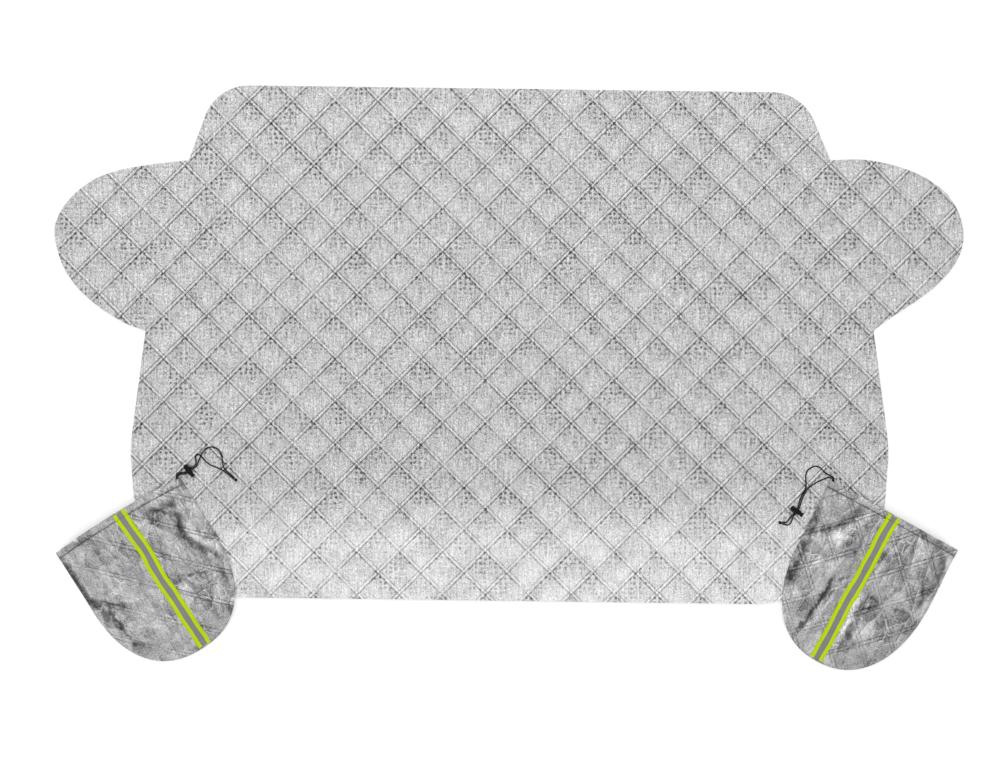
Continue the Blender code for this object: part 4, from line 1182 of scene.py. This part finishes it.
def slotted(name, profile, low, high, place, look, body):
    """A turned piece at its place, with the cords' slot through it from low to high along it."""
    points, faces = lathe(profile)
    made = piece(name, points, faces, [look], body=body, sharp=LOCK_SHARP)
    r = (CORD + 2 * CORD_CLEARANCE) / 2
    length = high - low
    turn = [math.pi * i / 8 - math.pi / 2 for i in range(9)]
    right = [((low + high) / 2 + length / 2 - r + r * math.cos(a), r * math.sin(a)) for a in turn]
    ring = right + [(low + high - x, -z) for x, z in right]
    n = len(ring)
    cut_points = [(x, y, z) for y in (-LOCK_DIAMETER, LOCK_DIAMETER) for x, z in ring]
    cut_faces = [(i, (i + 1) % n, n + (i + 1) % n, n + i) for i in range(n)]
    cut_faces += [tuple(range(n))[::-1], tuple(range(n, 2 * n))]
    mesh = bpy.data.meshes.new("slot")
    mesh.from_pydata(cut_points, [], cut_faces)
    face_out(mesh)
    tool = link_new("slot", mesh)
    step = made.modifiers.new("slot", "BOOLEAN")
    step.operation, step.solver, step.object = "DIFFERENCE", "EXACT", tool
    graph = bpy.context.evaluated_depsgraph_get()
    cut = bpy.data.meshes.new_from_object(made.evaluated_get(graph))
    made.modifiers.clear()
    made.data = cut
    bpy.data.objects.remove(tool, do_unlink=True)
    cut.transform(place)
    soften(cut, LOCK_SHARP)
    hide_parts(name.replace("_moulding", ""))
    return made


def dome(length, radius, steps=9):
    """The profile of a rounded end."""
    turn = [math.pi / 2 * k / steps for k in range(steps + 1)]
    return [(length * (1 - math.cos(a)), radius * math.sin(a)) for a in turn]


def make_spring(pouch, place, bore, inner, wire):
    """The coil between the barrel's closed end and the plunger, as it rests."""
    start, end = LOCK_END_WALL + GAP + SPRING_WIRE / 2, inner - GAP - SPRING_WIRE / 2
    coil = bore - 3 * SPRING_WIRE / 2 - CORD_CLEARANCE
    path = []
    for k in range(SPRING_POINTS + 1):
        a = 2 * math.pi * SPRING_TURNS * k / SPRING_POINTS
        path.append(place @ Vector((start + (end - start) * k / SPRING_POINTS, coil * math.cos(a),
                                    coil * math.sin(a))))
    points, faces, pairs = tube(path, SPRING_WIRE / 2, 10)
    made = piece(f"{pouch.side}_spring_wire", points, faces, [wire], uv=pairs,
                 node=f"{pouch.side}_lock_spring")
    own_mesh(made)
    return made


def make_lock(pouch, plastic, cap_plastic, wire):
    """A cord lock as it rests: its barrel, its plunger with the button, and its spring."""
    place = lock_frame(pouch)
    radius = LOCK_DIAMETER / 2
    bore = radius - LOCK_WALL
    shell = dome(LOCK_DOME, radius) + rounded([
        (LOCK_DOME + 0.002, radius), (BARREL_LENGTH, radius), (BARREL_LENGTH, bore), (LOCK_END_WALL, bore),
        (LOCK_END_WALL, 0)], 0.4 * MM)
    half = (STRAND_PITCH + CORD) / 2 + CORD_CLEARANCE
    low, high = CORD_STATION - half, CORD_STATION + half
    barrel = slotted(f"{pouch.side}_lock_barrel_moulding", shell, low, high, place, plastic, "cover")
    stem = bore - STEM_CLEARANCE
    inner = low - STEM_WEB
    cap = CAP_DIAMETER / 2
    turned = rounded([(inner, 0), (inner, stem), (LOCK_LENGTH - CAP_THICKNESS, stem),
                      (LOCK_LENGTH - CAP_THICKNESS, cap), (LOCK_LENGTH, cap), (LOCK_LENGTH, 0)], 0.5 * MM)
    plunger = slotted(f"{pouch.side}_lock_plunger_moulding", turned, low, high + LOCK_TRAVEL, place,
                      cap_plastic, f"{pouch.side}_lock_button")
    return barrel, plunger, make_spring(pouch, place, bore, inner, wire)


def make_knot(pouch, look):
    """An overhand knot, pulled tight, as one closed loop."""
    x, y, heading = KNOTS[pouch.side]
    place = near_exit(pouch, x, y, CROWN_Z + GAP + KNOT_DIAMETER / 2)
    turn = Matrix.Translation(place) @ Matrix.Rotation(math.radians(heading + pouch.turn), 4, "Z")
    path = []
    for k in range(KNOT_POINTS + 1):
        t = 2 * math.pi * k / KNOT_POINTS
        across = (math.sin(t) + 2 * math.sin(2 * t)) / 3
        along = (math.cos(t) - 2 * math.cos(2 * t)) / 3
        path.append(turn @ Vector((KNOT_LENGTH / 2 + along * (KNOT_LENGTH / 2 - KNOT_STRAND),
                                   across * (KNOT_DIAMETER / 2 - KNOT_STRAND),
                                   -math.sin(3 * t) * 1.35 * MM)))
    points, faces, pairs = tube(path, KNOT_STRAND)
    return piece(f"{pouch.side}_knot_braid", points, faces, [look], uv=pairs,
                 node=f"{pouch.side}_cord_knot")


def make_drawcord(pouch, look, hardware):
    """Both strands of a drawcord. The hardware that it is given, the lock and the knot, is not used."""
    for strand in ("a", "b"):
        line = evenly(smooth_curve([tuple(p) for p in strand_route(pouch, strand)]), CORD_STEP)
        points, faces, pairs = tube(line, CORD / 2)
        made = piece(f"{pouch.side}_braid_{strand}", points, faces, [look], uv=pairs,
                     node=f"{pouch.side}_drawcord_{strand}")


# ---------------------------------------------------------------- the set

def make_set():
    bpy.ops.mesh.primitive_plane_add(size=40, location=(0, 0, 0))
    floor = bpy.context.object
    floor.name = "floor"
    look = Look("floor_white", Roughness=1.0)
    ray = look.nodes.new("ShaderNodeLightPath").outputs
    seen = look.most(ray["Is Camera Ray"], look.most(ray["Is Glossy Ray"], ray["Is Transmission Ray"]))
    floor.data.materials.append(look.done(
        Base_Color=(0.93, 0.93, 0.93), Specular_IOR_Level=0.0, Emission_Color=(1.0, 1.0, 1.0),
        Emission_Strength=look.times(seen, FLOOR_GLOW)))

    sky = Look("studio", "worlds", "Background", Strength=SKY_STRENGTH)
    level = sky.remap(sky.split(sky.place("Generated"))[2], 0.0, 1.0, *SKY_LEVELS)
    bpy.context.scene.world = sky.done(Color=level)

    key = link_new("key", bpy.data.lights.new("key", "AREA"))
    key.data.size, key.data.energy = KEY_SIZE, KEY_POWER
    key.location = KEY_PLACE
    key.rotation_euler = (-key.location).to_track_quat("-Z", "Y").to_euler()

    camera = link_new("camera", bpy.data.cameras.new("camera"))
    camera.data.sensor_width, camera.data.clip_end = SENSOR, CAMERA_REACH
    camera.data.lens = SENSOR * CAMERA_PLACE[2] / VIEW_WIDTH
    camera.location = CAMERA_PLACE
    bpy.context.scene.camera = camera
    bpy.context.scene.view_settings.view_transform = "Standard"


def main():
    make_set()
    foil = quilted_foil()
    inside = mottled("lining", (0.20, 0.20, 0.205), (0.34, 0.34, 0.34), 240, (0.55, 0.8), 0.0008, detail=3.0,
                     span=(0.2, 0.8), Metallic=0.3)
    lime = woven("lime_weave", (0.43, 0.60, 0.003), (0.70, 0.91, 0.006), 0.9 * MM, 0.7,
                 Specular_IOR_Level=0.12)
    silver = woven("retroreflective_weave", (0.13, 0.128, 0.125), (0.30, 0.297, 0.292), 0.7 * MM, 0.42,
                   metal=0.35, grain=0.2)
    plastic, cap_plastic = moulded("moulded_black", 0.0025), moulded("moulded_black_cap", 0.0035)
    braid = braided()
    lime_thread = thread("lime_thread", (0.42, 0.62, 0.0))
    dark_thread = thread("dark_thread", (0.018, 0.018, 0.018))
    wire = mottled("spring_wire", (0.46, 0.46, 0.47), (0.62, 0.62, 0.63), 1400, (0.2, 0.36), Metallic=1.0)

    pouches = [Pouch(side) for side in ("left", "right")]
    for pouch in pouches:
        lock = make_lock(pouch, plastic, cap_plastic, wire)
        make_drawcord(pouch, braid, [*lock, make_knot(pouch, braid)])

    make_cover(foil, cut_edge())
    for pouch in pouches:
        bag, tree, area = make_pouch(pouch, crumpled_foil(pouch.side), inside)
        tape = make_tape(pouch, tree, "lime_tape", TAPE_WIDTH, GAP, TAPE_THICKNESS, lime)
        strip = make_tape(pouch, tree, "reflective_strip", STRIP_WIDTH, 2 * GAP + TAPE_THICKNESS,
                          STRIP_THICKNESS, silver, across=5)
        threads = sew(pouch, tree, lime_thread, dark_thread)


main()
